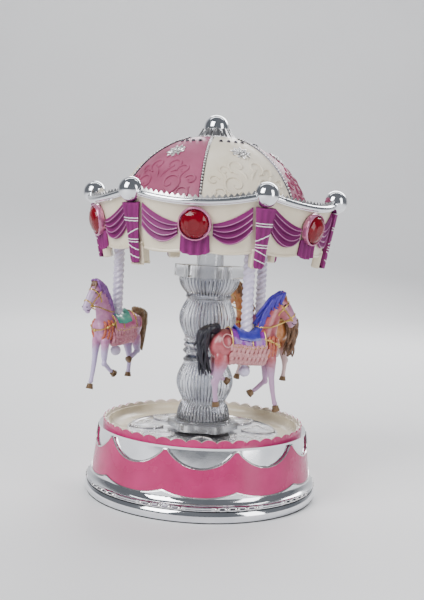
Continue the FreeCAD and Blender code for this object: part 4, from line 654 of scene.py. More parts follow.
def leaf(across, up, tilt, length):
    """A flat bent leaf, thick in the middle, with tapers; tilt is in degrees."""
    lean = math.radians(tilt)
    points = []
    tapers = []
    for share in shares(LEAF_STEPS):
        bend = LEAF_BEND * math.sin(math.pi * share)
        points.append((across + length * share * math.cos(lean) - bend * math.sin(lean),
                       up + length * share * math.sin(lean) + bend * math.cos(lean)))
        tapers.append(0.2 + 1.1 * math.sin(math.pi * share))
    return points, tapers


# %% The drawing on all six panels
drawings = [(spiral(*scroll), SCROLL_LIFT) for scroll in SCROLLS]
drawings += [(leaf(*blade), 0.0) for blade in LEAVES]
scroll_paths = []
scroll_tapers = []
for panel in PANEL_ANGLES:
    for side in (-1, 1):
        for (points, tapers), lift in drawings:
            scroll_paths.append([on_roof(panel, side * x, y, lift) for x, y in points])
            scroll_tapers.append(tapers)
bm = piping(scroll_paths, SCROLL_RADIUS, tapers=scroll_tapers)
keep_piece(bm, "roof_scrolls", "carousel", roof_finish)

# %% Silver flowers near the top of each panel
FLOWER_UP = 29.8
PETAL_ROWS = [(9, 2.8, 2.0, 0.85, 0.1, 10.0), (7, 1.5, 1.3, 0.7, 0.5, 18.0), (1, 0.0, 0.8, 0.8, 1.0, 0.0)]


def roof_frame(panel, across, up):
    """A frame on the roof with z straight out."""
    place = on_roof(panel, across, up)
    out = (place - Vector((0, 0, ROOF_CENTRE * MM))).normalized()
    return Matrix.Translation(place) @ out.to_track_quat("Z", "Y").to_matrix().to_4x4()


def petal_bead(bm, laid, turn, reach, long, wide, lift, tilt):
    """A flattened bead that points away from the middle of a frame, its tip raised."""
    spoke = Matrix.Rotation(math.radians(turn), 4, "Z") @ Matrix.Translation((reach * MM, 0, lift * MM))
    spoke = spoke @ Matrix.Rotation(math.radians(-tilt), 4, "Y")
    bead(bm, (0, 0, 0), 1.0, laid @ spoke @ Matrix.Diagonal((long, wide, 0.5, 1.0)))


bm = bmesh.new()
for panel in PANEL_ANGLES:
    laid = roof_frame(panel, 0.0, FLOWER_UP)
    for count, *petal_shape in PETAL_ROWS:
        for petal in range(count):
            petal_bead(bm, laid, 360.0 * petal / count, *petal_shape)
keep_piece(bm, "roof_flowers", "carousel", silver, crease=60.0)

# %% Beads in dark lines on the seams
BEADS_PER_SEAM = 30
SEAM_BEAD = 0.56
SEAM_LOW = 1.2
SEAM_HIGH = 47.5
GROOVE_STEPS = 24
GROOVE_RADIUS = 0.85


def on_seam(seam, share, stand_off):
    return on_roof(seam, 0.0, SEAM_LOW + (SEAM_HIGH - SEAM_LOW) * share, stand_off)


bm = bmesh.new()
groove_paths = []
for seam in SEAM_ANGLES:
    for share in shares(BEADS_PER_SEAM - 1):
        bead(bm, on_seam(seam, share, 0.45), SEAM_BEAD)
    groove_paths.append([on_seam(seam, share, -0.25) for share in shares(GROOVE_STEPS)])
keep_piece(bm, "seam_beads", "carousel", silver, ["dome_beads"], crease=60.0)
keep_piece(piping(groove_paths, GROOVE_RADIUS), "seam_grooves", "carousel", dark_stud)

# %% Dark studs under the collar
STUD_UP = 41.0
STUD_STEP = 10.5
STUDS_PER_PANEL = 4
bm = bmesh.new()
for panel in PANEL_ANGLES:
    for index in range(STUDS_PER_PANEL):
        turn = STUD_STEP * (index - (STUDS_PER_PANEL - 1) / 2)
        bead(bm, on_roof(panel + turn, 0.0, STUD_UP), 0.9)
keep_piece(bm, "roof_studs", "carousel", dark_stud, crease=60.0)

# %% [markdown]
# ## Crown rail, lace and finial trim
# A chrome rail dips between the corner balls, with a thin wire under it, and a strip of
# silver lace points stands along it on the roof side. The strip starts as a flat sheet, its
# upper row is pulled into points, and it is laid along the same arc as the rail. The leaves
# round the finial's collar are one more sheet, closed to a ring, whose top rises to ten tips.

# %% The arc of one rail
BALL_CIRCLE = 57.2
BALL_LEVEL = 139.5
RAIL_LOW = 135.3
half_chord = BALL_CIRCLE * math.sin(math.radians(30.0))
chord_middle = BALL_CIRCLE * math.cos(math.radians(30.0))
rail_reach = math.hypot(BALL_CIRCLE - chord_middle, BALL_LEVEL - RAIL_LOW)
rail_bend = (half_chord ** 2 + rail_reach ** 2) / (2 * rail_reach)
rail_spread = math.asin(half_chord / rail_bend)
print("rail bends with a radius of", round(rail_bend, 1), "mm")


def on_rail(first, share, inward=0.0, up=0.0):
    """A point beside a rail; share runs from 0 at one ball to 1 at the next."""
    swing = rail_spread * (2.0 * share - 1.0)
    along = rail_bend * math.sin(swing)
    sag = rail_reach - rail_bend * (1.0 - math.cos(swing))
    out = chord_middle + sag * (BALL_CIRCLE - chord_middle) / rail_reach - inward
    level = BALL_LEVEL - sag * (BALL_LEVEL - RAIL_LOW) / rail_reach + up
    turn = Matrix.Rotation(math.radians(first + 30.0), 3, "Z")
    return turn @ (Vector((along, -out, level)) * MM)


# %% Lace points and the wire under the rail
LACE_POINTS = 21
LACE_START = 0.075
LACE_HEIGHT = 1.9
LACE_DIP = 0.5
LACE_THICK = 0.45
WIRE_START = 0.08
WIRE_STEPS = 40
WIRE_RADIUS = 0.42
bm = bmesh.new()
wire_paths = []
for first in PANEL_ANGLES:
    for vert, along, down in sheet(bm, 2 * LACE_POINTS, 2):
        up = 1.0 - down
        at_point = round(along * 2 * LACE_POINTS) % 2
        share = LACE_START + (1.0 - 2 * LACE_START) * along
        rise = 1.0 + (LACE_HEIGHT if at_point else LACE_DIP) * up
        vert.co = on_rail(first, share, inward=0.1 + 0.2 * up, up=rise)
    wire_paths.append([on_rail(first, WIRE_START + (1.0 - 2 * WIRE_START) * share, 0.2, -1.25)
                       for share in shares(WIRE_STEPS)])
thicken(bm, LACE_THICK)
keep_piece(bm, "rail_lace", "carousel", silver)
keep_piece(piping(wire_paths, WIRE_RADIUS, roundness=2), "rail_wires", "carousel", chrome)

# %% Leaves of the finial collar
COLLAR_LEAVES = 10
COLLAR_FOOT = 9.3
COLLAR_TOP = 6.15
COLLAR_LOW = 166.7
COLLAR_HIGH = 169.4
LEAF_TIP = 1.7
bm = bmesh.new()
for vert, share, down in sheet(bm, 160, 12):
    blade = abs(math.cos(math.pi * COLLAR_LEAVES * share))
    climb = 1.0 - down
    top = COLLAR_HIGH + LEAF_TIP * blade ** 0.5
    reach = COLLAR_FOOT + (COLLAR_TOP - COLLAR_FOOT) * climb ** 0.7
    vein = 0.35 * blade ** 3 + 0.16 * math.cos(6.0 * math.pi * COLLAR_LEAVES * share)
    vert.co = front_at(reach + vein, 360.0 * share, COLLAR_LOW + (top - COLLAR_LOW) * climb)
bmesh.ops.remove_doubles(bm, verts=bm.verts, dist=MERGE)
thicken(bm, 0.3)
keep_piece(bm, "collar_leaves", "carousel", silver, crease=60.0)

# %% [markdown]
# ## Draped valance
# The canopy's edge is a cream wall hung with moulded drapery: folded swags, flat pillar
# strips, pleated tabs and red stones. None of it is cloth. It is cast in the solid, so each
# piece starts as a sheet, is shaped row by row on a flat pattern, and is laid on the leaning
# wall before it gets its thickness. A swag has four flat folds, and each ends in a lip; a thin
# piping in a paler paint runs along every lip as a painted highlight.

# %% Frames on the leaning wall
WALL_LOW = 114.1
WALL_HIGH = 139.5
WALL_LOW_RADIUS = 51.6
WALL_HIGH_RADIUS = 56.4
WALL_LEAN = (WALL_HIGH_RADIUS - WALL_LOW_RADIUS) / (WALL_HIGH - WALL_LOW)
GEM_LEVEL = 126.5
lean_angle = math.atan(WALL_LEAN)
print("wall leans", round(math.degrees(lean_angle), 1), "degrees")


def wall_radius(level):
    return WALL_LOW_RADIUS + WALL_LEAN * (level - WALL_LOW)


def wall_frame(angle, stand_off=0.05):
    """x along the wall, y up its slope and z straight out, from the gem's level."""
    turn = Matrix.Rotation(math.radians(angle), 4, "Z") @ Matrix.Rotation(math.pi / 2 + lean_angle, 4, "X")
    place = Matrix.Translation(front_at(wall_radius(GEM_LEVEL), angle, GEM_LEVEL))
    return place @ turn @ Matrix.Translation((0, 0, stand_off * MM))


def on_wall(gem_angle, across, level, stand_off):
    """A point on the round wall, at a distance across from a gem."""
    reach = wall_radius(level) + stand_off
    turn = math.degrees(math.asin(across / reach))
    return front_at(reach, gem_angle + turn, level)


# %% The shape of a swag
SWAG_NEAR = 7.5
SWAG_FAR = 23.4
SWAG_TOP = (0.0, 2.5, 7.6)
SWAG_FOOT = (-5.2, -8.3, -2.2)
FOLDS = 4
FOLD_RISE = 1.1
FOLD_LIP = 0.86
LIP_STEPS = 18


def through(values, share):
    """A smooth line through three values: near, middle and far."""
    near, middle, far = values
    ends = near * (1 - share) * (1 - 2 * share) + far * share * (2 * share - 1)
    return ends + middle * 4 * share * (1 - share)


def swag_point(gem_angle, side, share, down, lift=0.0):
    """A point on a swag, by its shares from gem to pillar and from top to foot."""
    top = through(SWAG_TOP, share)
    foot = through(SWAG_FOOT, share)
    along_fold = (FOLDS * down) % 1.0
    wave = min(along_fold / FOLD_LIP, (1.0 - along_fold) / (1.0 - FOLD_LIP))
    gather = 0.45 + 0.55 * math.sin(math.pi * share)
    stand_off = 0.55 + FOLD_RISE * wave ** 1.3 * gather + lift
    across = side * (SWAG_NEAR + (SWAG_FAR - SWAG_NEAR) * share)
    return on_wall(gem_angle, across, GEM_LEVEL + top + (foot - top) * down, stand_off)


# %% Folded swags and their lips
bm = bmesh.new()
lip_paths = []
for gem_angle in SEAM_ANGLES:
    for side in (-1, 1):
        for vert, share, down in sheet(bm, 20, 42):
            vert.co = swag_point(gem_angle, side, share, down)
        for fold in range(FOLDS):
            down = (fold + FOLD_LIP) / FOLDS
            lip_paths.append([swag_point(gem_angle, side, share, down, 0.05) for share in shares(LIP_STEPS)])
thicken(bm, 0.5, outwards=True)
keep_piece(bm, "folded_swags", "carousel", plum_enamel, ["swag_drapes"], crease=50.0)
# Painted highlight: a paler paint on the piping along each lip stands in for the light the lip catches.
lip_highlight_paint = start_finish("lip_highlight_paint", (0.46, 0.17, 0.36), (0.34, 0.11, 0.26), 0.22, 0.36, coat_weight=0.3)
keep_piece(piping(lip_paths, 0.2), "painted_lip_highlights", "carousel", lip_highlight_paint)

# %% Pillar strips
STRIP_HIGH = 7.9
STRIP_WAIST = -8.7
STRIP_LOW = -17.6
STRIP_HALF = 2.85
STRIP_DEPTH = 2.9
STRIP_THICK = 2.6


def strip_half(up):
    """Half width of the strip at a height on its pattern."""
    if up > STRIP_WAIST:
        return STRIP_HALF + 1.85 * ((up - STRIP_WAIST) / (STRIP_HIGH - STRIP_WAIST)) ** 1.3
    tail = (STRIP_WAIST - up) / (STRIP_WAIST - STRIP_LOW)
    return (STRIP_HALF - 0.35 * tail) * (1.0 - 3.0 * max(0.0, tail - 0.9))


def on_strip(laid, across, up, lift=0.0):
    """A point on the strip's front, which has three soft folds; across runs from -1 to 1."""
    fold = 0.168 * math.cos(3.0 * math.pi * across)
    depth = STRIP_DEPTH - 0.75 * across ** 2 + fold + lift
    return laid @ (Vector((across * strip_half(up), up, depth)) * MM)


bm = bmesh.new()
for angle in PANEL_ANGLES:
    laid = wall_frame(angle)
    for vert, share, down in sheet(bm, 18, 40):
        vert.co = on_strip(laid, 2.0 * share - 1.0, STRIP_HIGH + (STRIP_LOW - STRIP_HIGH) * down)
thicken(bm, STRIP_THICK, outwards=True)
keep_piece(bm, "pillar_strips", "carousel", plum_enamel, ["pillar_drapes"], crease=50.0)

# %% Cream pegs behind the strips
PEG_HIGH = -9.6
PEG_LOW = -18.3
PEG_FRONT = 0.5
PEG_BACK = -3.4
PEG_HALF = 3.05
PEG_TAPER = 0.3
PEG_ROUND = 0.8
bm = bmesh.new()
for angle in PANEL_ANGLES:
    laid = wall_frame(angle)
    for vert in bmesh.ops.create_cube(bm, size=1.0)["verts"]:
        at_top = vert.co.y > 0
        half = PEG_HALF if at_top else PEG_HALF - PEG_TAPER
        depth = PEG_FRONT if vert.co.z > 0 else PEG_BACK
        vert.co = laid @ (Vector((2 * vert.co.x * half, PEG_HIGH if at_top else PEG_LOW, depth)) * MM)
bmesh.ops.bevel(bm, geom=bm.edges[:], offset=PEG_ROUND * MM, segments=3, profile=0.5, affect="EDGES",
                material=-1)
bmesh.ops.recalc_face_normals(bm, faces=bm.faces)
keep_piece(bm, "pillar_pegs", "carousel", cream_enamel)

# %% White lines across the strips
LINE_RADIUS = 0.24
LINE_STEPS = 12
STRIP_LINES = [(1.6, 1.35), (0.5, 0.25), (-7.4, -7.65), (-8.5, -8.75),
               (-6.0, -3.0), (-9.6, -12.2), (-13.6, -15.6)]
line_paths = []
for angle in PANEL_ANGLES:
    laid = wall_frame(angle)
    for left_up, right_up in STRIP_LINES:
        line = []
        for share in shares(LINE_STEPS):
            up = left_up + (right_up - left_up) * share
            line.append(on_strip(laid, 1.02 * (2.0 * share - 1.0), up, 0.1))
        line_paths.append(line)
keep_piece(piping(line_paths, LINE_RADIUS), "strip_lines", "carousel", white_line)

# %% Pleated tabs
TAB_HIGH = -5.0
TAB_LOW = -13.4
TAB_HALF = 6.1
TAB_FLARE = 0.3
TAB_THICK = 0.75
PLEATS = 4
bm = bmesh.new()
for angle in SEAM_ANGLES:
    laid = wall_frame(angle, 0.1)
    for vert, share, down in sheet(bm, 48, 14):
        across = 2.0 * share - 1.0
        half = TAB_HALF + TAB_FLARE * down
        pleat = 0.5 - 0.5 * math.cos(2.0 * math.pi * PLEATS * share)
        up = TAB_HIGH + (TAB_LOW - TAB_HIGH) * down * (1.0 - 0.17 * across ** 2)
        curve = (across * half) ** 2 / (2.0 * WALL_LOW_RADIUS)
        rise = 0.75 + (0.35 + 0.65 * down) * pleat - curve
        vert.co = laid @ (Vector((across * half, up, rise)) * MM)
thicken(bm, TAB_THICK, outwards=True)
keep_piece(bm, "pleated_tabs", "carousel", plum_enamel, ["gem_tabs"], crease=50.0)

# %% [markdown]
# ## Stones and their settings
# Six faceted stones sit in plain rounded settings. A stone starts as a twelve-sided disc.
# It is extruded ring by ring, and from the second ring on each is shrunk and turned by half
# a side, so that splitting the side faces gives the crossed facets of a cut stone. A rolled
# hem follows the scalloped lower edge of the wall under them.

# %% One setting and one stone
SETTING_PROFILE = [(6.25, 0.95), (6.25, 2.7), (6.45, 3.0), (6.75, 3.0), (7.0, 2.75), (7.1, 2.3),
                   (7.1, 0.5), (6.8, 0.1), (0.4, 0.1), (0.4, 0.95)]
STONE_SIDES = 12
STONE_SEAT = 1.0
STONE_RINGS = [(6.15, 2.3), (5.5, 3.4), (4.1, 4.3), (2.4, 4.75)]
setting_mesh = as_mesh(spun(SETTING_PROFILE, 48), "setting_shape")

stone = bmesh.new()
bmesh.ops.create_circle(stone, cap_ends=True, segments=STONE_SIDES, radius=STONE_RINGS[0][0] * MM,
                        matrix=Matrix.Translation((0, 0, STONE_SEAT * MM)))
half_side = Matrix.Rotation(math.pi / STONE_SIDES, 3, "Z")
cap = stone.faces[:]
for index, (radius, level) in enumerate(STONE_RINGS):
    grown = bmesh.ops.extrude_face_region(stone, geom=cap)
    cap = [item for item in grown["geom"] if isinstance(item, bmesh.types.BMFace)]
    rim = [item for item in grown["geom"] if isinstance(item, bmesh.types.BMVert)]
    shrink = radius * MM / rim[0].co.xy.length
    bmesh.ops.translate(stone, verts=rim, vec=(0, 0, level * MM - rim[0].co.z))
    bmesh.ops.scale(stone, verts=rim, vec=(shrink, shrink, 1.0))
    if index > 0:
        bmesh.ops.rotate(stone, verts=rim, cent=(0, 0, 0), matrix=half_side)
bmesh.ops.triangulate(stone, faces=[face for face in stone.faces if len(face.verts) == 4])
bmesh.ops.recalc_face_normals(stone, faces=stone.faces)
stone_mesh = as_mesh(stone, "stone_shape")

# %% Six of each on the wall
rose_metal = start_finish("rose_metal", (0.62, 0.22, 0.38), (0.48, 0.14, 0.28), 0.12, 0.26,
                          coat_weight=0.5, metallic=0.55)
settings_bm = bmesh.new()
stones_bm = bmesh.new()
for angle in SEAM_ANGLES:
    stamp(settings_bm, setting_mesh, wall_frame(angle, 0.1))
    stamp(stones_bm, stone_mesh, wall_frame(angle, 0.1))
keep_piece(settings_bm, "stone_settings", "carousel", rose_metal, ["gem_bezels"], crease=40.0)
keep_piece(stones_bm, "cut_stones", "carousel", ruby, ["gems"], crease=5.0)

# %% Rolled hem of the valance
HEM_LOBES = 12
HEM_STEPS = 16
HEM_RISE = 1.8
HEM_RADIUS = 0.7
hem = []
for step in range(HEM_LOBES * HEM_STEPS):
    share = (step % HEM_STEPS) / HEM_STEPS
    level = WALL_LOW + HEM_RISE * (2.0 * share - 1.0) ** 2
    angle = FIRST_POLE + 360.0 * step / (HEM_LOBES * HEM_STEPS)
    hem.append(front_at(wall_radius(level) - 0.25, angle, level + 0.35))
bm = piping([hem], HEM_RADIUS, closed=True, roundness=2)
keep_piece(bm, "valance_hem", "carousel", cream_enamel)

# %% [markdown]
# ## Drum trim
# The drum's rose band is edged in silver, and its foot carries groups of five beads in a dark
# line, with raised lines between the groups. The edges follow arcs that were cut straight
# through the round band, so each point is worked out on the flat arc and then laid on the
# cone. The deck inside the rim is a silver plate with eight beaded petals.

# %% Points on the band
BAND_LOW = 10.2
BAND_HIGH = 29.8
BAND_THICK = 0.85
DRUM_LOW_RADIUS = 51.0
DRUM_HIGH_RADIUS = 48.6
DRUM_LOW = 9.8
DRUM_HEIGHT = 20.4
SWAGS = 10
SWAG_TURN = 360.0 / SWAGS
MOON_DEPTH = 7.4
LOBE_RISE = 2.3
EDGE_RADIUS = 0.38
EDGE_STEPS = 24


def on_band(angle, across, level):
    """A point on the band from a distance across a swag's own front."""
    taper = (DRUM_LOW_RADIUS - DRUM_HIGH_RADIUS) * (level - DRUM_LOW) / DRUM_HEIGHT
    reach = DRUM_LOW_RADIUS - taper + BAND_THICK
    return front_at(reach, angle + math.degrees(math.asin(across / reach)), level)


def arc_radius(half, rise):
    """Radius of an arc from half its chord and its rise."""
    return (half ** 2 + rise ** 2) / (2 * rise)


# %% Silver edges of the band
half_swag = math.sin(math.radians(SWAG_TURN / 2))
moon_half = 49.4 * half_swag - 0.8
moon_arc = arc_radius(moon_half, MOON_DEPTH)
moon_spread = math.asin(moon_half / moon_arc)
lobe_half = 51.8 * half_swag - 0.8
lobe_arc = arc_radius(lobe_half, LOBE_RISE)
upper_edge = []
lower_edge = []
for swag in range(SWAGS):
    for share in shares(EDGE_STEPS):
        place = 2.0 * share - 1.0
        swing = moon_spread * place
        moon_level = BAND_HIGH - MOON_DEPTH + moon_arc * (1.0 - math.cos(swing))
        upper_edge.append(on_band(SWAG_TURN * swag, moon_arc * math.sin(swing), moon_level))
        run = lobe_half * (1.0 - abs(place))
        lobe_level = BAND_LOW + lobe_arc - math.sqrt(lobe_arc ** 2 - run ** 2)
        lower_edge.append(on_band(SWAG_TURN * (swag + 0.5), lobe_half * place, lobe_level))
bm = piping([upper_edge, lower_edge], EDGE_RADIUS, closed=True)
keep_piece(bm, "band_edges", "case", silver)

# %% Beads and raised lines on the drum's foot
GROUP_BEADS = 5
GROUP_SPREAD = 19.0
BEAD_LEVEL = 6.25
BEAD_CIRCLE = 54.0
FOOT_BEAD = 0.78
GROOVE_CIRCLE = 53.75
LINE_CIRCLE = 53.95
LINE_LEVELS = (5.85, 6.7)


def foot_arc(radius, start, reach, level):
    """A row of points round the foot from a start angle, in degrees."""
    return [front_at(radius, start + reach * share, level) for share in shares(16)]


bm = bmesh.new()
groove_paths = []
line_paths = []
for swag in range(SWAGS):
    middle = SWAG_TURN * (swag + 0.5)
    for share in shares(GROUP_BEADS - 1):
        angle = middle + GROUP_SPREAD * (share - 0.5)
        long_bead = Matrix.Rotation(math.radians(angle), 4, "Z") @ Matrix.Diagonal((1.75, 1.0, 1.0, 1.0))
        bead(bm, front_at(BEAD_CIRCLE, angle, BEAD_LEVEL), FOOT_BEAD, long_bead)
    groove_reach = GROUP_SPREAD + 2.4
    groove_paths.append(foot_arc(GROOVE_CIRCLE, middle - groove_reach / 2, groove_reach, BEAD_LEVEL))
    for level in LINE_LEVELS:
        line_paths.append(foot_arc(LINE_CIRCLE, middle + GROUP_SPREAD / 2 + 2.6,
                                   SWAG_TURN - GROUP_SPREAD - 5.2, level))
keep_piece(bm, "foot_beads", "case", silver, crease=60.0)
keep_piece(piping(groove_paths, 0.5), "foot_grooves", "case", dark_stud)
keep_piece(piping(line_paths, 0.26), "foot_lines", "case", chrome)

# %% Beaded petals on the deck plate
PETALS = 8
PETAL_BEADS = 17
PETAL_MIDDLE = 26.75
PETAL_LONG = 7.75
PETAL_WIDE = 4.6
PETAL_TOP = 29.3
PLATE_TOP = 28.85
PLATE_EDGE = 35.3
FLAT_BEAD = Matrix.Diagonal((1, 1, 0.6, 1))
BETWEEN_PETALS = [(27.0, 0.0, 0.8), (30.4, 0.0, 1.0), (30.4, -2.0, 0.8), (30.4, 2.0, 0.8)]
petal_arc = arc_radius(PETAL_LONG, PETAL_WIDE)
petal_spread = math.asin(PETAL_LONG / petal_arc)
bm = bmesh.new()
for petal in range(PETALS):
    turn = Matrix.Rotation(2 * math.pi * petal / PETALS, 3, "Z")
    for side in (-1, 1):
        for share in shares(PETAL_BEADS - 1):
            swing = petal_spread * (2.0 * share - 1.0)
            along = PETAL_MIDDLE + petal_arc * math.sin(swing)
            across = side * (petal_arc * math.cos(swing) - petal_arc + PETAL_WIDE)
            bead(bm, turn @ (Vector((along, across, PETAL_TOP)) * MM), 0.5)
    half_turn = Matrix.Rotation(2 * math.pi * (petal + 0.5) / PETALS, 3, "Z")
    for along, across, radius in BETWEEN_PETALS:
        bead(bm, half_turn @ (Vector((along, across, PLATE_TOP)) * MM), radius, FLAT_BEAD)
keep_piece(bm, "petal_beads", "case", silver, crease=60.0)
plate_ring = [front_at(PLATE_EDGE, 4.0 * step, PLATE_TOP) for step in range(90)]
keep_piece(piping([plate_ring], 0.45, closed=True), "plate_edge", "case", silver)

# %% [markdown]
# ## Carousel horses
# Each horse is a small cast figure with a painted coat, hair in locks, a saddle and tack. The
# body is lofted: rings are placed at stations along trunk, neck, head and legs and bridged,
# then muscles are added as stretched balls. A voxel remesh melts them into one skin, which
# is how a modeller's clay would run together. One horse is modelled at a pole's foot, in
# its own frame of forward, sideways and up, and is stamped at the three poles.

# %% Stations of the body and the legs
TRUNK = [(-16.6, 0, 12.2, 2.4, 2.2), (-15.2, 0, 11.8, 5.2, 3.9), (-12.0, 0, 11.0, 7.6, 5.2),
         (-6.0, 0, 10.9, 6.6, 5.3), (0.0, 0, 9.9, 6.3, 5.4), (6.0, 0, 10.3, 7.0, 5.3),
         (10.8, 0, 10.9, 7.2, 4.7), (13.6, 0, 11.0, 5.0, 3.4), (15.0, 0, 10.6, 2.2, 1.8)]
NECK_RINGS = [(7.6, 0, 11.0, 6.2, 4.2), (9.2, 0, 17.0, 5.4, 3.4), (11.2, 0, 22.6, 4.5, 2.7),
              (13.4, 0, 27.2, 3.8, 2.3), (15.4, 0, 30.6, 2.4, 1.8)]
HEAD = [(12.6, 0, 30.6, 2.5, 1.7), (15.4, 0, 28.6, 4.1, 2.3), (18.3, 0, 25.8, 3.9, 2.1),
        (20.6, 0, 23.0, 2.9, 1.7), (22.4, 0, 20.7, 2.6, 1.8), (23.1, 0, 19.3, 1.6, 1.2)]
NEAR_FORE = [(10.6, -2.6, 8.4, 3.8, 2.2), (11.4, -2.8, 2.4, 2.3, 1.7), (11.8, -2.9, -4.0, 1.3, 1.15),
             (12.0, -2.9, -5.6, 1.45, 1.3), (13.2, -2.9, -12.2, 0.95, 0.95), (14.3, -2.9, -15.6, 1.25, 1.2)]
FAR_FORE_UPPER = [(10.2, 2.6, 8.0, 3.6, 2.2), (12.0, 2.8, 0.4, 2.0, 1.6), (11.4, 2.9, -5.8, 1.4, 1.3)]
FAR_FORE_LOWER = [(11.6, 2.9, -5.4, 1.4, 1.3), (7.8, 2.9, -8.9, 0.95, 0.95), (5.5, 2.9, -10.3, 1.2, 1.15)]
NEAR_HIND = [(-11.4, -2.6, 9.0, 4.6, 2.5), (-12.2, -2.9, 2.0, 2.9, 2.0), (-15.0, -3.0, -5.0, 1.5, 1.3),
             (-14.5, -3.0, -10.0, 1.05, 1.0), (-14.1, -3.0, -13.2, 1.25, 1.2)]
FAR_HIND_UPPER = [(-11.0, 2.6, 8.0, 4.2, 2.5), (-12.4, 2.9, 1.8, 2.5, 1.9), (-13.0, 3.0, -1.6, 1.6, 1.4)]
FAR_HIND_LOWER = [(-13.2, 3.0, -1.4, 1.6, 1.4), (-9.9, 3.0, -3.6, 1.05, 1.0), (-7.5, 3.0, -4.7, 1.2, 1.15)]
EARS = [[(15.2, side * 1.2, 31.2, 0.9, 0.7), (15.9, side * 1.5, 33.0, 0.85, 0.6),
         (16.7, side * 1.6, 35.0, 0.25, 0.25)] for side in (-1, 1)]
LIMBS = [TRUNK, NECK_RINGS, HEAD, NEAR_FORE, FAR_FORE_UPPER, FAR_FORE_LOWER,
         NEAR_HIND, FAR_HIND_UPPER, FAR_HIND_LOWER, *EARS]
print("limbs to loft:", len(LIMBS))

# %% Loft a limb and melt limbs together


def limb(bm, stations, sides=14):
    """A closed tube; a station is (forward, sideways, up, half depth, half width)."""
    loops = []
    for index, (forward, sideways, up, deep, wide) in enumerate(stations):
        before = Vector(stations[max(index - 1, 0)][:3])
        after = Vector(stations[min(index + 1, len(stations) - 1)][:3])
        along = after - before
        along.y = 0.0
        along.normalize()
        across = Vector((0, 1, 0))
        turn = Matrix((across * wide, along.cross(across) * deep, along)).transposed().to_4x4()
        place = Matrix.Translation(Vector((forward, sideways, up)) * MM) @ turn
        at_end = index in (0, len(stations) - 1)
        made = bmesh.ops.create_circle(bm, cap_ends=at_end, segments=sides, radius=MM, matrix=place)
        ring = set(made["verts"])
        loops.append([edge for edge in bm.edges if ring.issuperset(edge.verts)])
    for first, second in zip(loops, loops[1:]):
        bmesh.ops.bridge_loops(bm, edges=first + second)


def settle(bm, name, voxel, rounds):
    """Melts overlapping shells into one skin and smooths it; returns a bmesh."""
    bmesh.ops.recalc_face_normals(bm, faces=bm.faces)
    holder = bpy.data.objects.new(name, as_mesh(bm, name))
    soften = holder.modifiers.new("soften", "SUBSURF")
    soften.levels = 2
    soften.render_levels = 2
    melt = holder.modifiers.new("melt", "REMESH")
    melt.mode = "VOXEL"
    melt.voxel_size = voxel * MM
    calm = holder.modifiers.new("calm", "SMOOTH")
    calm.factor = 0.5
    calm.iterations = rounds
    return evaluated(holder)


# %% Body with muscles
PAIRED_MUSCLES = [((-10.6, 2.6, 11.0), (4.6, 3.2, 5.6)), ((9.6, 2.9, 9.8), (3.4, 2.5, 4.8)),
                  ((13.0, 1.5, 11.6), (2.2, 2.0, 3.4)), ((15.2, 1.5, 26.9), (1.9, 1.2, 2.1)),
                  ((17.5, 1.65, 28.7), (1.2, 0.7, 0.8)), ((22.8, 1.1, 21.2), (1.1, 0.8, 1.0))]
CHIN_AND_JOINTS = [((21.4, 0.0, 19.0), (1.3, 1.2, 0.9)),
                   ((12.0, -2.9, -5.2), (1.5, 1.4, 1.7)), ((11.6, 2.9, -5.7), (1.6, 1.45, 1.6)),
                   ((-15.2, -3.0, -4.6), (1.6, 1.4, 1.9)), ((-13.3, 3.0, -1.4), (1.7, 1.5, 1.7)),
                   ((14.0, -2.9, -14.6), (1.35, 1.3, 1.2)), ((-14.2, -3.0, -12.4), (1.35, 1.3, 1.2))]
CLAY_VOXEL = 0.42
CALM_ROUNDS = 5
muscles = [((forward, side * sideways, up), radii)
           for (forward, sideways, up), radii in PAIRED_MUSCLES for side in (1, -1)]
body = bmesh.new()
for stations in LIMBS:
    limb(body, stations)
for place, radii in muscles + CHIN_AND_JOINTS:
    shape = Matrix.Translation(Vector(place) * MM) @ Matrix.Diagonal((*radii, 1.0))
    bmesh.ops.create_icosphere(body, subdivisions=2, radius=MM, matrix=shape)
body = settle(body, "horse_clay", CLAY_VOXEL, CALM_ROUNDS)

# %% Eye sockets and the finished skin
SOCKET_RADIUS = 1.1
SOCKET_DEPTH = 0.35
eye_sockets = [Vector((17.7, side * 1.95, 27.9)) * MM for side in (-1, 1)]
for vert in body.verts:
    for socket in eye_sockets:
        near = 1.0 - (vert.co - socket).length / (SOCKET_RADIUS * MM)
        if near > 0.0:
            vert.co.y -= math.copysign(SOCKET_DEPTH * MM * near, socket.y)
own_place = body.verts.layers.float_vector.new("horse_place")
for vert in body.verts:
    vert[own_place] = vert.co / MM
skin = BVHTree.FromBMesh(body)
horse_body = as_mesh(body, "horse_body_shape")


def on_skin(forward, sideways, up, lift=0.0):
    """The nearest point of the coat to a place, lifted straight out of it."""
    place, out, _, _ = skin.find_nearest(Vector((forward, sideways, up)) * MM)
    return place + out * lift * MM


# %% [markdown]
# ## Hooves and face
# Hooves are short flared tubes at the ends of the legs. The eyes, nostrils, lids and mouth are
# tiny, so they are laid on the finished skin: each asks it for the nearest point. That way
# they stay on the face if the clay is changed.

# %% Hooves
HOOF_AXES = [((14.3, -2.9, -15.6), (14.9, -2.9, -18.0)), ((5.7, 2.9, -10.2), (3.9, 2.9, -11.3)),
             ((-14.1, -3.0, -13.0), (-13.9, -3.0, -15.1)), ((-7.6, 3.0, -4.7), (-6.0, 3.0, -5.6))]
HOOF_RINGS = [(0.0, 1.3), (0.12, 1.5), (0.3, 1.45), (0.9, 1.85), (1.0, 1.7)]
HOOF_FLATTENING = 0.94
hooves = bmesh.new()
for top, foot in HOOF_AXES:
    start = Vector(top)
    step = Vector(foot) - start
    limb(hooves, [(*(start + step * share), radius, radius * HOOF_FLATTENING)
                  for share, radius in HOOF_RINGS], sides=16)
bmesh.ops.recalc_face_normals(hooves, faces=hooves.faces)
horse_hooves = as_mesh(hooves, "horse_hoof_shape")

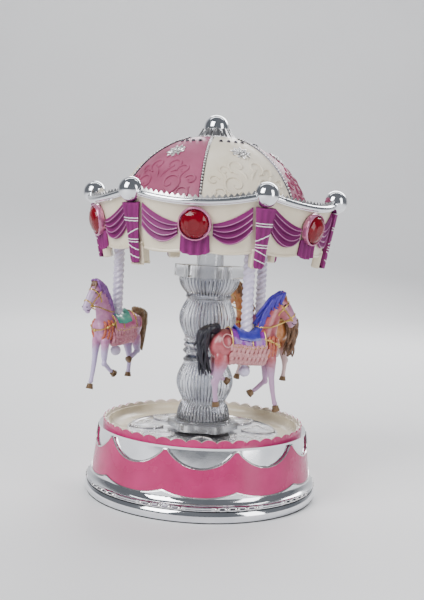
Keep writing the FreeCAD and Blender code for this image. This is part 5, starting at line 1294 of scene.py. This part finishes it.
# %% Eyes, nostrils, lids and mouth
EYE_FORWARD = 17.75
EYE_SIDE = 2.4
EYE_UP = 27.95
EYE_SHAPE = Matrix.Diagonal((1.15, 0.7, 0.9, 1.0))
NOSTRIL_SHAPE = Matrix.Diagonal((0.8, 0.7, 1.2, 1.0))
LID_START = -20.0
LID_SWEEP = 220.0
LID_RADIUS = 0.18
MOUTH = [(23.6, 19.4), (22.7, 19.4), (21.8, 19.8), (21.0, 20.4)]
eyes = bmesh.new()
lid_paths = []
for side in (-1, 1):
    bead(eyes, on_skin(EYE_FORWARD, side * EYE_SIDE, EYE_UP), 0.66, EYE_SHAPE)
    bead(eyes, on_skin(23.7, side * 1.6, 21.5), 0.38, NOSTRIL_SHAPE)
    lid = []
    for share in shares(8):
        swing = math.radians(LID_START + LID_SWEEP * share)
        lid.append(on_skin(EYE_FORWARD + 0.9 * math.cos(swing), side * EYE_SIDE,
                           EYE_UP + 0.66 * math.sin(swing), 0.1))
    lid_paths.append(lid)
    lid_paths.append([on_skin(forward, side * 2.0, up, 0.05) for forward, up in MOUTH])
horse_eyes = as_mesh(eyes, "horse_eye_shape")
horse_lids = as_mesh(piping(lid_paths, LID_RADIUS), "horse_lid_shape")

# %% [markdown]
# ## Hair in locks
# Hair on a cast figure is a set of thick locks that overlap, so each lock is one tapered
# piece of piping. The mane leaves the crest backwards in three rows and curls as it falls, and
# three short locks lie on the forehead. The tail has two tiers: the outer locks stop about
# two thirds of the way down, and the inner ones run on to the tip.

# %% Mane
MANE_LINE = [(5.6, 19.4), (6.4, 22.6), (7.6, 26.0), (9.6, 29.4), (12.4, 31.9), (15.2, 32.8)]
LOCKS = 16
LOCK_RADIUS = 0.92
LOCK_CURL = 0.85
LOCK_TAPER = [0.75, 0.95, 1.0, 1.0, 0.95, 0.88, 0.78, 0.66, 0.5, 0.34, 0.12]
LOCK_STEPS = len(LOCK_TAPER) - 1


def along_line(line, share):
    """A point on a row of (forward, up) pairs, by its share of the row."""
    reach = share * (len(line) - 1)
    index = min(int(reach), len(line) - 2)
    part = reach - index
    return tuple(a + (b - a) * part for a, b in zip(line[index], line[index + 1]))


def lock(root, sweep, length, curl, sideways):
    """A lock that leaves its root backwards and falls with a curl."""
    points = []
    for share in shares(LOCK_STEPS):
        swing = math.radians(sweep + 40.0 * share)
        wave = curl * math.sin(2.2 * math.pi * share)
        points.append(Vector((root[0] - length * share * math.cos(swing) + wave * 0.5,
                              root[1] + sideways * (0.6 + share),
                              root[2] - length * share * math.sin(swing) + wave)) * MM)
    return points


mane_paths = []
for index in range(LOCKS):
    forward, up = along_line(MANE_LINE, index / (LOCKS - 1))
    for side in (-1, 0, 1):
        reach = 6.4 - 1.8 * abs(index / LOCKS - 0.45) + 0.6 * math.sin(2.4 * index + side)
        root = (forward + 1.8, side * 0.8, up + 0.4)
        sweep = 4.0 + 30.0 * abs(side) + 9.0 * math.sin(1.7 * index)
        mane_paths.append(lock(root, sweep, reach, LOCK_CURL, side * 1.0))
mane = piping(mane_paths, LOCK_RADIUS, tapers=[LOCK_TAPER] * len(mane_paths), roundness=2)
horse_mane = as_mesh(mane, "horse_mane_shape")

# %% Forelock
FORELOCK_RADIUS = 0.95
forelock_paths = []
for side in (-1, 0, 1):
    line = []
    for share in shares(LOCK_STEPS):
        up = 32.6 + 0.9 * math.sin(2.6 * share) - 4.2 * share ** 2
        line.append(Vector((15.6 + 3.0 * share, side * (0.5 + 0.9 * share), up)) * MM)
    forelock_paths.append(line)
forelock = piping(forelock_paths, FORELOCK_RADIUS, tapers=[LOCK_TAPER] * len(forelock_paths), roundness=2)
horse_forelock = as_mesh(forelock, "horse_forelock_shape")

# %% Tail
TAIL_LINE = [(-14.0, 16.4), (-16.4, 18.5), (-19.0, 17.0), (-20.2, 11.6), (-19.6, 5.0), (-18.2, -2.2)]
TAIL_LOCKS = 22
TAIL_STEPS = 24
TIERS = [(0.64, 3.0), (1.0, 1.9)]
FLICK = 0.8
FLICK_START = 0.8
tail_paths = []
tail_tapers = []
for index in range(TAIL_LOCKS):
    turn = 2 * math.pi * index / TAIL_LOCKS
    reach, layer = TIERS[index % 2]
    line = []
    taper = []
    for share in shares(TAIL_STEPS):
        forward, up = along_line(TAIL_LINE, reach * share)
        fullness = layer * (0.3 + 0.7 * math.sin(math.pi * min(0.6, share))) * (1.0 - 0.35 * share ** 3)
        flick = FLICK * max(0.0, share - FLICK_START) / (1.0 - FLICK_START)
        wave = (0.25 + 0.6 * share) * math.sin(14.0 * reach * share + 2.1 * index)
        out = fullness + flick
        line.append(Vector((forward + out * math.cos(turn) + wave, 0.75 * out * math.sin(turn) + 0.6 * wave,
                            up + 0.3 * fullness * math.cos(turn) + 0.5 * flick)) * MM)
        taper.append(1.0 + 0.25 * math.sin(math.pi * share) - 0.7 * share ** 4)
    tail_paths.append(line)
    tail_tapers.append(taper)
tail = piping(tail_paths, LOCK_RADIUS, tapers=tail_tapers, roundness=2)
horse_tail = as_mesh(tail, "horse_tail_shape")

# %% [markdown]
# ## Saddle, blanket and feathers
# The saddle and the blanket under it are sheets bent over the trunk. A point on them is given
# by its place along the back and its lean from straight up, and it stands off the trunk's own
# rings. The blanket's lower edge is scalloped, and rows of small feathers hang from it and
# cover the breast.

# %% Saddle shaped over the back


def trunk_at(forward):
    """Middle level, half depth and half width of the trunk at a place along it."""
    for first, second in zip(TRUNK, TRUNK[1:]):
        if first[0] <= forward <= second[0]:
            share = (forward - first[0]) / (second[0] - first[0])
            return tuple(first[axis] + (second[axis] - first[axis]) * share for axis in (2, 3, 4))
    return TRUNK[-1][2:]


def over_back(forward, lean, stand_off):
    """A point on the trunk at an angle from straight up, lifted off the coat."""
    middle, deep, wide = trunk_at(forward)
    swing = math.radians(lean)
    sideways = (wide + stand_off) * math.sin(swing)
    return Vector((forward, sideways, middle + (deep + stand_off) * math.cos(swing))) * MM


SADDLE_LEAN = 130.0
SADDLE_START = -5.6
SADDLE_REACH = 10.6
SADDLE_THICK = 0.7
saddle = bmesh.new()
for vert, share, down in sheet(saddle, 22, 20):
    flap = abs(share - 0.5) * 2.0
    forward = SADDLE_START + SADDLE_REACH * down + 1.0 * flap * (0.5 - down)
    horns = max(0.0, 1.0 - 4.5 * down) + 0.9 * max(0.0, 5.0 * down - 4.0)
    horn = 1.5 * max(0.0, 1.0 - flap * 1.6) * horns
    stand_off = 0.85 + horn + 0.25 * math.sin(math.pi * down)
    vert.co = over_back(forward, SADDLE_LEAN * (share - 0.5), stand_off)
thicken(saddle, SADDLE_THICK)
horse_saddle = as_mesh(saddle, "horse_saddle_shape")

# %% Blanket
BLANKET_START = -8.4
BLANKET_REACH = 15.6
BLANKET_LEAN = 88.0
BLANKET_THICK = 0.35
SCALLOP = 5.0
blanket = bmesh.new()
for vert, share, down in sheet(blanket, 40, 30):
    flap = abs(share - 0.5) * 2.0
    scallop = SCALLOP * abs(math.sin(4.0 * math.pi * down)) * flap ** 3
    lean = (share - 0.5) * 2.0 * (BLANKET_LEAN + scallop)
    ripple = 0.12 * math.sin(20.0 * down) * flap
    vert.co = over_back(BLANKET_START + BLANKET_REACH * down, lean, 0.42 + ripple)
thicken(blanket, BLANKET_THICK)
horse_blanket = as_mesh(blanket, "horse_blanket_shape")

# %% One feather
FRINGE_ROWS = [(94.0, 0.3), (107.0, 0.4), (120.0, 0.6), (133.0, 0.9), (146.0, 1.1)]
FRINGE_STEPS = 17
FRINGE_START = -8.6
FRINGE_PITCH = 1.0
HIP = -10.6
HIP_LEAN = 72.0
HIP_RING = 2.4
TRUNK_RADIUS = 6.4
BREAST_ROWS = [(9.2, 5), (11.0, 6), (12.8, 6)]


def feather(bm, forward, lean, long, wide, lift=0.3):
    """A small pointed feather that lies on the trunk and hangs down and back."""
    place = over_back(forward, lean, lift)
    below = over_back(forward - 0.35, lean + math.copysign(8.0, lean), lift)
    down = (below - place).normalized()
    swing = math.radians(lean)
    across = Vector((0, math.sin(swing), math.cos(swing))).cross(down).normalized()
    turn = Matrix((down, across, down.cross(across))).transposed().to_4x4()
    bead(bm, place, 1.0, turn @ Matrix.Diagonal((long, wide, 0.35 + lift, 1.0)))


# %% Feathers on the flanks and the breast
hip_paths = []
for side in (-1, 1):
    ring = []
    for share in shares(24):
        swing = 2 * math.pi * share
        lean = HIP_LEAN + math.degrees(HIP_RING * math.sin(swing) / TRUNK_RADIUS)
        ring.append(over_back(HIP + HIP_RING * math.cos(swing), side * lean, 0.45))
    hip_paths.append(ring)
fringe = piping(hip_paths, 0.32)
breast = bmesh.new()
for side in (-1, 1):
    for row, (lean, lift) in enumerate(FRINGE_ROWS):
        for step in range(FRINGE_STEPS):
            stray = math.sin(3.1 * step + 1.7 * row)
            forward = FRINGE_START + FRINGE_PITCH * (step + 0.5 * (row % 2)) + 0.35 * stray
            feather(fringe, forward, side * (lean + 3.0 * stray), 1.8 + 0.3 * stray, 0.85, lift)
    for forward, count in BREAST_ROWS:
        for step in range(count):
            feather(breast, forward, side * (66.0 + 15.0 * step), 1.5, 0.8)
horse_fringe = as_mesh(fringe, "horse_fringe_shape")
horse_breast = as_mesh(breast, "horse_breast_shape")

# %% [markdown]
# ## Tack
# Gilt trim, girth, breast strap, bridle and reins are all round piping. Straps on the trunk
# follow its rings, and those on the head are pulled onto the skin, so that they lie flat. The
# reins hang free between the bit and the saddle. Small balls mark the rings and buckles.

# %% Straps
BIT_RING = (20.9, 21.6)
CHEEK_STRAP = [BIT_RING, (19.4, 23.6), (17.8, 25.4), (16.0, 27.2), (14.6, 29.6), (14.4, 31.4)]
BREAST_STRAP = [(6.4, 62.0, 0.5), (9.4, 74.0, 0.9), (12.4, 84.0, 0.9), (14.6, 92.0, 0.8)]
BREAST_RING = Vector((15.9, 0.0, 10.2)) * MM
REINS = [(17.2, 3.0, 21.4), (13.4, 3.9, 20.0), (9.4, 4.2, 18.8), (5.4, 2.6, 18.6), (4.2, 0.0, 18.9)]
STRAP_RADIUS = 0.34
STRAP_SIDE = 3.0
STRAP_LIFT = 0.12
HEM_PIECES = 40


def head_loop(forward, up, deep, wide, tilt):
    """A strap pulled tight round the head, square to the way the face runs."""
    lean = math.radians(tilt)
    loop = []
    for share in shares(20):
        swing = 2 * math.pi * share
        loop.append(on_skin(forward + deep * math.sin(swing) * math.cos(lean), wide * math.cos(swing),
                            up + deep * math.sin(swing) * math.sin(lean), STRAP_LIFT))
    return loop


tack_paths = []
for side in (-1, 1):
    hem = []
    for down in shares(HEM_PIECES):
        lean = side * (BLANKET_LEAN + SCALLOP * abs(math.sin(4.0 * math.pi * down)))
        hem.append(over_back(BLANKET_START + BLANKET_REACH * down, lean, 0.62))
    tack_paths.append(hem)
    for forward in (BLANKET_START, BLANKET_START + BLANKET_REACH):
        tack_paths.append([over_back(forward, side * BLANKET_LEAN * share, 0.6) for share in shares(12)])
    breast_strap = [over_back(forward, side * lean, lift) for forward, lean, lift in BREAST_STRAP]
    tack_paths.append(breast_strap + [BREAST_RING])
    reins = [Vector((forward, side * sideways, up)) * MM for forward, sideways, up in REINS]
    tack_paths.append([on_skin(BIT_RING[0], side * STRAP_SIDE, BIT_RING[1])] + reins)
    tack_paths.append([on_skin(forward, side * STRAP_SIDE, up, STRAP_LIFT) for forward, up in CHEEK_STRAP])
tack_paths.append([over_back(1.0, 360.0 * share, 0.5) for share in shares(24)])
tack_paths.append(head_loop(20.8, 22.8, 3.6, 2.4, 37.0))
tack_paths.append(head_loop(17.0, 27.1, 4.9, 3.0, 44.0))
tack = piping(tack_paths, STRAP_RADIUS)

# %% Rings and buckles
BUCKLE = Matrix.Diagonal((1, 0.6, 1, 1))
for side in (-1, 1):
    for (forward, up), radius in ((BIT_RING, 0.6), (CHEEK_STRAP[3], 0.5)):
        bead(tack, on_skin(forward, side * STRAP_SIDE, up, 0.15), radius, BUCKLE)
    for forward, lean, _ in BREAST_STRAP[1:3]:
        bead(tack, over_back(forward, side * lean, 1.1), 0.75)
bead(tack, Vector((16.0, 0.0, 10.2)) * MM, 0.85)
horse_tack = as_mesh(tack, "horse_tack_shape")

# %% [markdown]
# ## Painted coats
# The coats are brushed on: a warm body that fades to pale legs and a pale face, with a darker
# rump, and painted shade lies as a deeper colour in the hollows. The fades follow the horse's own
# height and length, so each body mesh keeps the place of its points before it is stamped, and the
# coat group reads that attribute in place of Object coordinates, which differ from pole to pole.

# %% The coat group
COAT_INPUTS = [("Coat", COLOUR, (0.6, 0.3, 0.3, 1.0)), ("Deep", COLOUR, (0.5, 0.2, 0.2, 1.0)),
               ("Legs", COLOUR, (0.6, 0.5, 0.7, 1.0)), ("Back", COLOUR, (0.2, 0.1, 0.1, 1.0))]
SMOOTH = "SMOOTHSTEP"
coat, taken, given = new_group("brushed_coat", COAT_INPUTS, [("Color", COLOUR)])
coat_place = add_node(coat, "Attribute", {}, attribute_name="horse_place").outputs["Vector"]
axes = add_node(coat, "SeparateXYZ", {"Vector": coat_place}).outputs
brush = add_node(coat, "TexNoise", {"Vector": coat_place, "Scale": 0.45, "Detail": 5.0}).outputs["Fac"]
brushed = mix_colours(coat, spread(coat, brush, 0.35, 0.65), taken["Coat"], taken["Deep"])
uneven_height = reckon(coat, "ADD", axes["Z"], reckon(coat, "MULTIPLY", brush, 5.0))
above_legs = spread(coat, uneven_height, 1.0, 7.5, ease=SMOOTH)
with_legs = mix_colours(coat, above_legs, taken["Legs"], brushed)
high = spread(coat, axes["Z"], 13.5, 18.0, to_high=0.85, ease=SMOOTH)
behind = reckon(coat, "SUBTRACT", 1.0, spread(coat, axes["X"], -3.0, 6.0, ease=SMOOTH))
with_back = mix_colours(coat, reckon(coat, "MULTIPLY", high, behind), with_legs, taken["Back"])
on_face = spread(coat, axes["X"], 16.0, 22.5, to_high=0.75, ease=SMOOTH)
coat.links.new(mix_colours(coat, on_face, with_back, taken["Legs"]), given["Color"])
print("group:", coat.name)

# %% Kinds of paint on a horse


def coat_finish(name, colour, deep, legs, back):
    """A painted coat: gloss and grain from the shared groups, colour from the coat group."""
    material = start_finish(name, colour, deep, 0.26, 0.42, grain_scale=1400.0, grain_strength=0.12,
                            coat_weight=0.35, coat_roughness=0.15)
    tree, plain_colour = own_colour(material)
    tree.nodes.remove(plain_colour.node)
    painted = place_group(tree, coat, Coat=opaque(colour), Deep=opaque(deep), Legs=opaque(legs),
                          Back=opaque(back))
    recolour(material, painted.outputs["Color"])
    # Painted shade: a darker copy of the deep colour lies in the coat's hollows.
    return darken_hollows_for_tarnish_and_shade(material, tuple(0.4 * value for value in deep), hollow=0.40, ridge=0.51)


def hair_finish(name, light, deep):
    """Paint on hair, with a fine grain and painted shade in the hollows between the locks."""
    material = start_finish(name, light, deep, 0.3, 0.46, paint_scale=500.0, grain_scale=2200.0,
                            grain_strength=0.35, coat_weight=0.3, coat_roughness=0.22,
                            specular_ior_level=0.35)
    return darken_hollows_for_tarnish_and_shade(material, tuple(0.3 * value for value in deep), hollow=0.42, ridge=0.56)


def trim_finish(name, light, deep):
    """A brighter gloss for saddles, blankets and feathers."""
    return start_finish(name, light, deep, 0.22, 0.38, paint_scale=260.0, grain_scale=1600.0,
                        grain_strength=0.2, coat_weight=0.45, coat_roughness=0.12)


# %% Paints of the three horses
gold_paint = start_finish("gold_paint", (0.72, 0.50, 0.16), (0.50, 0.32, 0.08), 0.24, 0.4,
                          paint_scale=400.0, metallic=0.85)
hoof_gold = start_finish("hoof_gold", (0.17, 0.10, 0.045), (0.10, 0.055, 0.025), 0.28, 0.44,
                         paint_scale=500.0, metallic=0.25)
eye_gloss = start_finish("eye_gloss", (0.02, 0.014, 0.012), (0.012, 0.009, 0.008), 0.04, 0.1,
                         coat_weight=0.8)
breast_red = trim_finish("breast_red", (0.55, 0.13, 0.06), (0.38, 0.07, 0.035))
HORSE_PAINTS = [
    {"slot": "rose_horse",
     "coat": coat_finish("rose_coat", (0.45, 0.105, 0.125), (0.31, 0.055, 0.07), (0.43, 0.26, 0.41),
                         (0.10, 0.025, 0.025)),
     "mane": hair_finish("violet_hair", (0.055, 0.028, 0.40), (0.022, 0.010, 0.22)),
     "tail": hair_finish("black_hair", (0.014, 0.013, 0.024), (0.006, 0.006, 0.011)),
     "forelock": hair_finish("copper_hair", (0.42, 0.17, 0.05), (0.26, 0.09, 0.03)),
     "fringe": trim_finish("rose_fringe", (0.60, 0.30, 0.31), (0.46, 0.17, 0.18)),
     "saddle": trim_finish("blue_saddle", (0.05, 0.05, 0.40), (0.025, 0.022, 0.25)),
     "blanket": trim_finish("violet_blanket", (0.24, 0.03, 0.36), (0.15, 0.015, 0.24))},
    {"slot": "peach_horse",
     "coat": coat_finish("peach_coat", (0.70, 0.31, 0.13), (0.54, 0.19, 0.06), (0.60, 0.42, 0.42),
                         (0.40, 0.14, 0.05)),
     "mane": hair_finish("chestnut_hair", (0.30, 0.15, 0.06), (0.16, 0.07, 0.03)),
     "tail": hair_finish("brown_hair", (0.20, 0.10, 0.05), (0.10, 0.05, 0.025)),
     "forelock": hair_finish("auburn_hair", (0.24, 0.11, 0.05), (0.13, 0.05, 0.025)),
     "fringe": trim_finish("peach_fringe", (0.66, 0.36, 0.22), (0.50, 0.23, 0.11)),
     "saddle": trim_finish("plum_saddle", (0.34, 0.08, 0.26), (0.22, 0.04, 0.17)),
     "blanket": trim_finish("cream_blanket", (0.72, 0.62, 0.46), (0.58, 0.47, 0.32))},
    {"slot": "lilac_horse",
     "coat": coat_finish("lilac_coat", (0.60, 0.28, 0.46), (0.46, 0.16, 0.36), (0.50, 0.42, 0.66),
                         (0.44, 0.14, 0.30)),
     "mane": hair_finish("heather_hair", (0.30, 0.12, 0.40), (0.17, 0.05, 0.25)),
     "tail": hair_finish("dark_gold_hair", (0.30, 0.20, 0.10), (0.17, 0.105, 0.05)),
     "forelock": hair_finish("umber_hair", (0.22, 0.12, 0.07), (0.12, 0.06, 0.035)),
     "fringe": trim_finish("pink_fringe", (0.64, 0.27, 0.35), (0.48, 0.15, 0.22)),
     "saddle": trim_finish("green_saddle", (0.06, 0.40, 0.30), (0.03, 0.26, 0.22)),
     "blanket": trim_finish("pink_blanket", (0.70, 0.20, 0.40), (0.54, 0.12, 0.28))},
]
print("horses painted:", [paints["slot"] for paints in HORSE_PAINTS])

# %% Stamp the horses at their poles
POLE_CIRCLE = 44.0
KNOB_LEVEL = 64.6
HEADING_TURNS = [0.0, 0.0, -26.0]
HORSE_SHAPES = [("coat", horse_body), ("mane", horse_mane), ("tail", horse_tail), ("saddle", horse_saddle),
                ("blanket", horse_blanket), ("forelock", horse_forelock), ("fringe", horse_fringe)]
PLAIN_SHAPES = [("breast", horse_breast, breast_red), ("hooves", horse_hooves, hoof_gold),
                ("eyes", horse_eyes, eye_gloss), ("lids", horse_lids, dark_stud),
                ("tack", horse_tack, gold_paint)]
for index, paints in enumerate(HORSE_PAINTS):
    angle = FIRST_POLE + 120.0 * index
    place = Matrix.Translation(front_at(POLE_CIRCLE, angle, KNOB_LEVEL))
    place = place @ Matrix.Rotation(math.radians(angle + HEADING_TURNS[index]), 4, "Z")
    label = f"horse_{index + 1}"
    shapes = [(part, mesh, paints[part]) for part, mesh in HORSE_SHAPES] + PLAIN_SHAPES
    for part, mesh, finish in shapes:
        bm = bmesh.new()
        stamp(bm, mesh, place)
        stands_for = [label] if part == "coat" else []
        keep_piece(bm, f"{label}_{part}", "carousel", finish, stands_for, crease=60.0)

# %% [markdown]
# ## Studio
# The scene is lit like a catalogue table: a pale sweep that runs up behind the object, a
# large soft key from the upper left, a weaker fill from the right and a strip behind for
# the rims. Bright metal shows what stands round it, so the lights are long panels.

# %% Pale sweep
SWEEP_FRONT = -1.6
SWEEP_BACK = 1.5
SWEEP_BEND = 0.7
SWEEP_SIDE = 3.0
sweep_profile = [(SWEEP_FRONT, 0.0), (SWEEP_BACK - SWEEP_BEND, 0.0)]
for share in shares(12)[1:]:
    swing = math.pi / 2 * share
    sweep_profile.append((SWEEP_BACK - SWEEP_BEND + SWEEP_BEND * math.sin(swing),
                          SWEEP_BEND - SWEEP_BEND * math.cos(swing)))
sweep_profile.append((SWEEP_BACK, 2.6))
bm = bmesh.new()
rail_verts = [bm.verts.new((-SWEEP_SIDE, depth, level)) for depth, level in sweep_profile]
rail_edges = [bm.edges.new(pair) for pair in zip(rail_verts, rail_verts[1:])]
drawn = bmesh.ops.extrude_edge_only(bm, edges=rail_edges)
far_verts = [item for item in drawn["geom"] if isinstance(item, bmesh.types.BMVert)]
bmesh.ops.translate(bm, verts=far_verts, vec=(2 * SWEEP_SIDE, 0, 0))
bmesh.ops.recalc_face_normals(bm, faces=bm.faces)
paper = start_finish("pale_paper", (0.88, 0.88, 0.89), (0.84, 0.84, 0.855), 0.55, 0.7, paint_scale=3.0,
                     mark_scale=4.0, grain_scale=700.0, grain_strength=0.05)
sweep_mesh = as_mesh(bm, "studio_sweep")
sweep_mesh.shade_smooth()
sweep_mesh.materials.append(paper)
sweep = bpy.data.objects.new("studio_sweep", sweep_mesh)
bpy.context.collection.objects.link(sweep)

# %% Soft lights


def soft_panel(name, place, target, width, height, power):
    """A rectangular area light that faces a target."""
    light = bpy.data.lights.new(name, "AREA")
    light.shape = "RECTANGLE"
    light.size = width
    light.size_y = height
    light.energy = power
    panel = bpy.data.objects.new(name, light)
    panel.location = place
    panel.rotation_euler = (Vector(target) - Vector(place)).to_track_quat("-Z", "Y").to_euler()
    bpy.context.collection.objects.link(panel)
    return panel


MIDDLE = (0.0, 0.0, 0.09)
soft_panel("key_panel", (-0.55, -0.60, 0.65), MIDDLE, 0.5, 0.7, 12.0)
soft_panel("fill_panel", (0.75, -0.55, 0.35), MIDDLE, 0.35, 0.8, 5.0)
soft_panel("rim_panel", (0.25, 0.75, 0.60), MIDDLE, 0.9, 0.3, 8.0)
soft_panel("wall_panel", (0.0, 0.55, 1.5), (0.0, 1.5, 0.5), 2.0, 0.4, 14.0)
world = bpy.data.worlds.new("studio_room")
bpy.context.scene.world = world
world.use_nodes = True
world.node_tree.nodes["Background"].inputs["Color"].default_value = (0.62, 0.65, 0.70, 1.0)
world.node_tree.nodes["Background"].inputs["Strength"].default_value = 0.28

# %% [markdown]
# ## Camera
# The camera stands a little above the middle of the column and looks slightly down, with a
# small roll. Its numbers were found by matching known points of the object: the foot, the
# rim and the six balls.

# %% Camera at the matched place
CAMERA_DISTANCE = 424.79
CAMERA_HEIGHT = 123.39
PITCH = 0.0762
ROLL = 0.048
YAW = 0.004
FOCAL_PIXELS = 897.46
LONG_SIDE_PIXELS = 600.0
SENSOR = 36.0
ahead = Vector((math.sin(YAW) * math.cos(PITCH), math.cos(YAW) * math.cos(PITCH), -math.sin(PITCH)))
level_right = ahead.cross(Vector((0, 0, 1))).normalized()
level_up = level_right.cross(ahead)
right = level_right * math.cos(ROLL) + level_up * math.sin(ROLL)
up = level_up * math.cos(ROLL) - level_right * math.sin(ROLL)
lens_data = bpy.data.cameras.new("studio_camera")
lens_data.sensor_width = SENSOR
lens_data.lens = FOCAL_PIXELS * SENSOR / LONG_SIDE_PIXELS
lens_data.clip_start = 0.01
camera = bpy.data.objects.new("studio_camera", lens_data)
turn = Matrix((right, up, -ahead)).transposed().to_4x4()
camera.matrix_world = Matrix.Translation(Vector((0, -CAMERA_DISTANCE, CAMERA_HEIGHT)) * MM) @ turn
bpy.context.collection.objects.link(camera)
bpy.context.scene.camera = camera
print("camera lens", round(lens_data.lens, 2))
